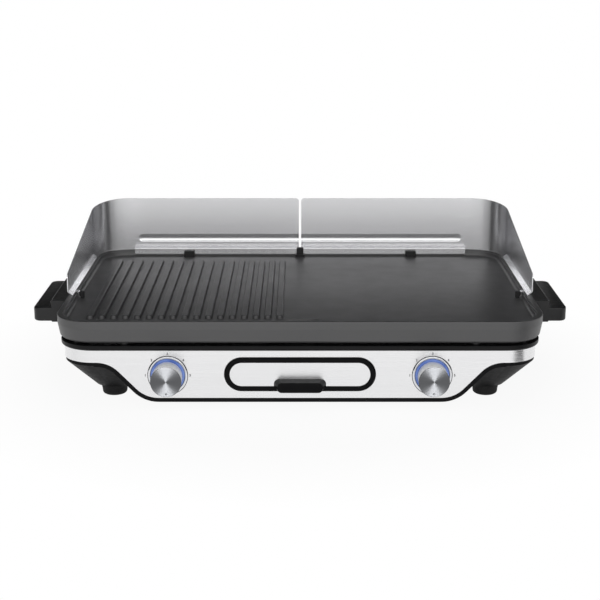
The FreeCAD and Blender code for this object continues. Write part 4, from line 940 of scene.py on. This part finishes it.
def make_gland():
    """The gland's flange and ribbed nose, with its bore."""
    low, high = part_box("mains_gland")
    length, flange = high.y - low.y, (high.x - low.x) / 2
    bore, body, nose = flange * gland_bore, flange * gland_body, flange * gland_nose
    outside = gland_inside + gland_flange
    base = Vector(((low.x + high.x) / 2, low.y, (low.z + high.z) / 2))
    line = [
        (bore, 0), (body, 0, flange / 16), (body, gland_inside), (flange, gland_inside, flange / 20),
        (flange, outside, flange / 12), (body, outside, flange / 20)]
    start = outside + flange / 6
    pitch = (length - start) / (gland_ribs + 1)
    for k in range(gland_ribs):
        radius = body + (nose - body) * (k + 0.5) / gland_ribs
        valley, y = radius - flange / 12, start + k * pitch
        line += [
            (valley, y, flange / 30), (valley, y + pitch * 0.3, flange / 30),
            (radius, y + pitch * 0.4, flange / 40), (radius, y + pitch * 0.95, flange / 40)]
    line += [(nose, length, flange / 14), (bore, length, flange / 14), (bore, 0)]
    return turned_mesh("gland_bush", rounded_line(line), base, TO_BACK, foot_steps)


def screw_blank():
    """A pan head of unit radius with a cross recess, on a short shank. The seat is at the origin."""
    bm = bmesh.new()
    line = rounded_line([
        (0, -0.9), (0.5, -0.9), (0.5, 0), (1, 0, 0.06), (1, 0.32, 0.2), (0.72, 0.6, 0.1), (0.55, head_crown)])
    lathe(bm, line, Vector(), UP, post_steps, closed=False)
    crown = [v for v in bm.verts if abs(v.co.z - head_crown) < same_height]
    crown.sort(key=lambda v: math.atan2(v.co.y, v.co.x))
    arm = [(cross_half, -cross_half), (cross_arm, -cross_half), (cross_arm, cross_half)]
    cross = []
    for k in range(4):
        turn = Matrix.Rotation(math.pi / 2 * k, 3, "Z")
        cross += [turn @ Vector((x, y, head_crown)) for x, y in arm]
    bottom = [Vector((p.x * cross_taper, p.y * cross_taper, p.z - cross_depth)) for p in cross]
    walls = skin(bm, [cross, bottom])
    fill(bm, crown, walls[0])
    fill(bm, walls[1])
    return shaded_mesh("screw_blank", bm)


def screw_seats(node):
    """Seat, outward way and head radius of each screw of a node, read from its solids."""
    bm = bmesh.new()
    bm.from_mesh(frame["nodes"][node].data)
    bmesh.ops.remove_doubles(bm, verts=bm.verts, dist=merge_distance)
    seen = set()
    seats = []
    for first in bm.verts:
        if first in seen:
            continue
        seen.add(first)
        group = [first]
        for vert in group:
            others = [edge.other_vert(vert) for edge in vert.link_edges]
            group += [other for other in others if other not in seen]
            seen.update(others)
        places = [v.co.copy() for v in group]
        low = Vector([min(p[k] for p in places) for k in range(3)])
        high = Vector([max(p[k] for p in places) for k in range(3)])
        middle, size = (low + high) / 2, high - low
        axis = max(range(3), key=lambda k: sum(abs(size[k] - other) for other in size))
        radius = size[(axis + 1) % 3] / 2
        way = (RIGHT, TO_BACK, UP)[axis]
        wide = [p[axis] for p in places if (p - middle).cross(way).length > radius * head_share]
        if sum(wide) / len(wide) <= middle[axis]:
            way = -way
        seat = middle.copy()
        seat[axis] = min(wide) if way[axis] > 0 else max(wide)
        seats.append((seat, way, radius))
    bm.free()
    return seats


def make_screws(node, blank):
    seats = screw_seats(node)
    holder = bpy.data.meshes.new(node + "_seats")
    holder.from_pydata([seat for seat, _, _ in seats], [], [])
    ways = holder.attributes.new("way", "FLOAT_VECTOR", "POINT")
    for item, (_, way, _) in zip(ways.data, seats):
        item.vector = way
    return laid_copies(
        node + "_cross_head", seat_tree, holder, blank.copy(), finishes["screw_steel"], Size=seats[0][2])


def body_of_node(node):
    return next(body for body, nodes in frame["record"]["behaviour"]["bodies"].items() if node in nodes)


def dress_top():
    add_piece("plate_casting", make_plate(), "grill_plate", "coated_casting", ["grill_plate"])
    add_piece("plate_ribs", make_ribs(), "grill_plate", "coated_casting")
    for side in SIDES:
        node = "splash_guard_" + side
        add_piece("splash_guard_sheet_" + side, make_guard(side), "guard_" + side, "guard_steel", [node])


def dress_dials():
    for side in SIDES:
        knob = "knob_" + side
        add_piece("knob_face_" + side, make_knob_cap(side), knob, "turned_aluminium", ["knob_cap_" + side])
        add_piece("knob_side_" + side, make_knob_body(side), knob, "silver_moulding", ["knob_body_" + side])
        add_piece("dial_ring_" + side, make_bezel(side), "base", "bezel_chrome", ["dial_bezel_" + side])
        # Painted shade: a black ring for the shadow line round the bezel
        add_piece("dial_seal_" + side, make_bezel_shade_ring(side), "base", "black_moulding")
        add_piece("dial_numbers_" + side, make_numbers(side), "base", "fascia_steel", finish="scale_ink")


def dress_small_parts():
    for end in ("front", "back"):
        for side in SIDES:
            name = "foot_%s_%s" % (end, side)
            add_piece(name + "_rubber", make_foot(name), "base", "foot_rubber", [name])
    add_piece("gland_bush", make_gland(), "base", "black_moulding", ["mains_gland"])
    blank = screw_blank()
    for node in ("handle", "clip", "bracket", "tray", "reflector", "frame", "foot"):
        node += "_screws"
        add_piece(node + "_cross_head", make_screws(node, blank), body_of_node(node), "screw_steel", [node])


# Width of the rounding on the other solids, single or in pairs
soft_edges = {
    "base_tub": 0.0009, "base_frame": 0.0008, "front_fascia": 0.0002, "tray_front": 0.0008,
    "tray_inlay": 0.0002, "drip_tray": 0.0004, "reflector": 0.0003, "terminal_block": 0.0004,
    "thermal_fuses": 0.0004, "gland_nut": 0.0004, "bushing_nuts": 0.0003, "heater_saddles": 0.0002,
    "guard_clip_middle": 0.0003,
}
soft_pairs = {
    "plate_handle": 0.0009, "guard_clip_back": 0.0003, "guard_clip_side": 0.0003, "tray_rail": 0.0005,
    "thermostat": 0.0003, "thermostat_bracket": 0.0003, "lamp_board": 0.0002, "light_guide": 0.0004,
}
for stem, edge_width in soft_pairs.items():
    for side_name in SIDES:
        soft_edges[stem + "_" + side_name] = edge_width


def dress_solids():
    """Round the edges of the other solids and give every solid its finish."""
    slots = {row["node"]: row["material_slot"] for row in frame["record"]["subparts"]}
    for node, solid in frame["nodes"].items():
        solid.data.materials.clear()
        solid.data.materials.append(finishes[slots[node]])
    for node, width in soft_edges.items():
        mesh = softened(node, width)
        if slots[node] == "fascia_steel":
            project_uv(mesh)
        finish = "pull_black" if node == "tray_front" else None
        add_piece(node + "_skin", mesh, body_of_node(node), slots[node], [node], finish)


def white_for_lookers(tree, plain, bright, share):
    """Mix a plain shader with a white one for camera, glossy and transmission rays."""
    rays = tree.nodes.new("ShaderNodeLightPath").outputs

    def combined(operation, first, second):
        made = add_node(tree, "ShaderNodeMath", operation=operation)
        for socket, value in zip(made.inputs, (first, second)):
            if isinstance(value, float):
                socket.default_value = value
            else:
                tree.links.new(value, socket)
        return made.outputs["Value"]

    looking = combined("MAXIMUM", rays["Is Camera Ray"], rays["Is Glossy Ray"])
    looking = combined("MAXIMUM", looking, rays["Is Transmission Ray"])
    mix = tree.nodes.new("ShaderNodeMixShader")
    for output, target in ((combined("MULTIPLY", looking, share), "Fac"), (plain, 1), (bright, 2)):
        tree.links.new(output, mix.inputs[target])
    return mix.outputs["Shader"]


def stage_sheet(name, corner, along, up):
    """A flat sheet for the stage, and its material's nodes."""
    start, along, up = Vector(corner), Vector(along), Vector(up)
    mesh = bpy.data.meshes.new(name)
    mesh.from_pydata([start, start + along, start + along + up, start + up], [], [(0, 1, 2, 3)])
    sheet = placed(name, mesh)
    material = bpy.data.materials.new(name)
    material.use_nodes = True
    mesh.materials.append(material)
    return sheet, material.node_tree


def make_floor():
    """A pale floor that turns white away from the grill and keeps its shadow near it."""
    width = 2 * floor_half
    floor, tree = stage_sheet("floor", (-floor_half, -floor_half, 0), (width, 0, 0), (0, width, 0))
    tree.nodes.remove(tree.nodes["Principled BSDF"])
    place = tree.nodes.new("ShaderNodeTexCoord")
    reach = add_node(tree, "ShaderNodeVectorMath", operation="LENGTH")
    tree.links.new(place.outputs["Object"], reach.inputs[0])
    limits = {"From Min": floor_shadow, "From Max": floor_white, "To Min": floor_least_white, "To Max": 1.0}
    share = add_node(tree, "ShaderNodeMapRange", **limits)
    tree.links.new(reach.outputs["Value"], share.inputs["Value"])
    pale = add_node(tree, "ShaderNodeBsdfDiffuse", Color=(floor_tone, floor_tone, floor_tone, 1))
    white = tree.nodes.new("ShaderNodeEmission")
    shader = white_for_lookers(tree, pale.outputs["BSDF"], white.outputs["Emission"], share.outputs["Result"])
    tree.links.new(shader, tree.nodes["Material Output"].inputs["Surface"])


def make_world():
    world = bpy.data.worlds.new("studio")
    bpy.context.scene.world = world
    world.use_nodes = True
    tree = world.node_tree
    soft = tree.nodes["Background"]
    soft.inputs["Strength"].default_value = world_strength
    white = tree.nodes.new("ShaderNodeBackground")
    for background in (soft, white):
        background.inputs["Color"].default_value = (1, 1, 1, 1)
    shader = white_for_lookers(tree, soft.outputs["Background"], white.outputs["Background"], 1.0)
    tree.links.new(shader, tree.nodes["World Output"].inputs["Surface"])


def make_lamp(name, place, target, size, power, only=None):
    """A soft box that looks at a target. A collection says which pieces it lights."""
    lamp = bpy.data.lights.new(name, "AREA")
    lamp.shape = "RECTANGLE"
    lamp.size, lamp.size_y = size
    lamp.energy = power
    holder = placed(name, lamp)
    holder.location = place
    holder.rotation_euler = (Vector(target) - Vector(place)).to_track_quat("-Z", "Y").to_euler()
    holder.visible_camera = False
    if only:
        holder.light_linking.receiver_collection = only


def make_card(name, corner, along, up, mirrored_only=False):
    """A dark card beside the light, for contrast in the steel. The camera doesn't see it."""
    card, tree = stage_sheet(name, corner, along, up)
    card.visible_camera = False
    card.visible_diffuse = not mirrored_only
    card.visible_shadow = not mirrored_only
    shader = tree.nodes["Principled BSDF"]
    shader.inputs["Base Color"].default_value = srgb(card_tone, card_tone, card_tone)
    shader.inputs["Roughness"].default_value = 1


def light_group(name, pieces, state="INCLUDE"):
    """A collection of the pieces that a lamp lights, or that it leaves out."""
    group = bpy.data.collections.new(name)
    for piece in pieces:
        group.objects.link(bpy.data.objects[piece])
    for row in group.collection_objects:
        row.light_linking.link_state = state
    return group


def make_studio():
    scene = bpy.context.scene
    scene.view_settings.view_transform = "Standard"
    camera = bpy.data.cameras.new("camera")
    camera.lens = camera_lens
    camera.clip_end = camera_reach
    holder = placed("camera", camera)
    holder.location = camera_place
    holder.rotation_euler = (camera_pitch, 0, 0)
    scene.camera = holder
    sheets = ["splash_guard_sheet_" + side for side in SIDES]
    guards = light_group("guard_sheets", sheets)
    all_but_guards = light_group("all_but_guards", sheets, "EXCLUDE")
    # Each lamp's place, target, width and height, power and the pieces that it is for
    lamps = {
        "top_box": ((0, -0.4, 2.0), aim, (1.8, 1.0), 4),
        "front_box": ((0, -3.2, 1.8), aim, (5.0, 3.2), 58, all_but_guards),
        "front_box_guards": ((0, -3.2, 1.2), aim, (5.0, 1.1), 31, guards),
        "low_box": ((0.1, -0.9, 0.055), guard_aim, (1.4, 0.09), 0.24, guards),
        "guard_box": ((0, 1.9, 1.6), aim, (3.0, 1.6), 2.4, guards),
    }
    # Each card's corner, run and rise, and whether only mirrors see it
    cards = {}
    for side, sign in SIDES.items():
        dial = light_group("dial_face_" + side, ["knob_face_" + side])
        lamps["dial_box_" + side] = ((sign * 0.36, -2.2, 0.75), aim, (1.6, 1.0), 190, dial)
        lamps["strip_" + side] = ((sign * 2.0, 0.0, 0.7), aim, (0.3, 1.2), 1.2)
        cards["card_" + side] = ((sign * 2.3, -1.1, 0.02), (0, 3.4, 0), (0, 0, 2.3))
    cards["card_back"] = ((-2.3, 2.3, 0.36), (4.6, 0, 0), (0, 0, 4.2))
    cards["card_top"] = ((-2.3, -1.0, 2.4), (4.6, 0, 0), (0, 3.3, 0), True)
    cards["card_corner"] = ((0.311, -0.309, 0.001), (0.313, -0.215, 0), (0.079, 0.115, 0), True)
    cards["card_front"] = ((-3.0, -4.2, 1.15), (6.0, 0, 0), (0, 0, 3.45), True)
    for name, row in lamps.items():
        make_lamp(name, *row)
    for name, row in cards.items():
        make_card(name, *row)
    make_world()
    make_floor()


dress_solids()
dress_top()
dress_dials()
dress_small_parts()
make_studio()
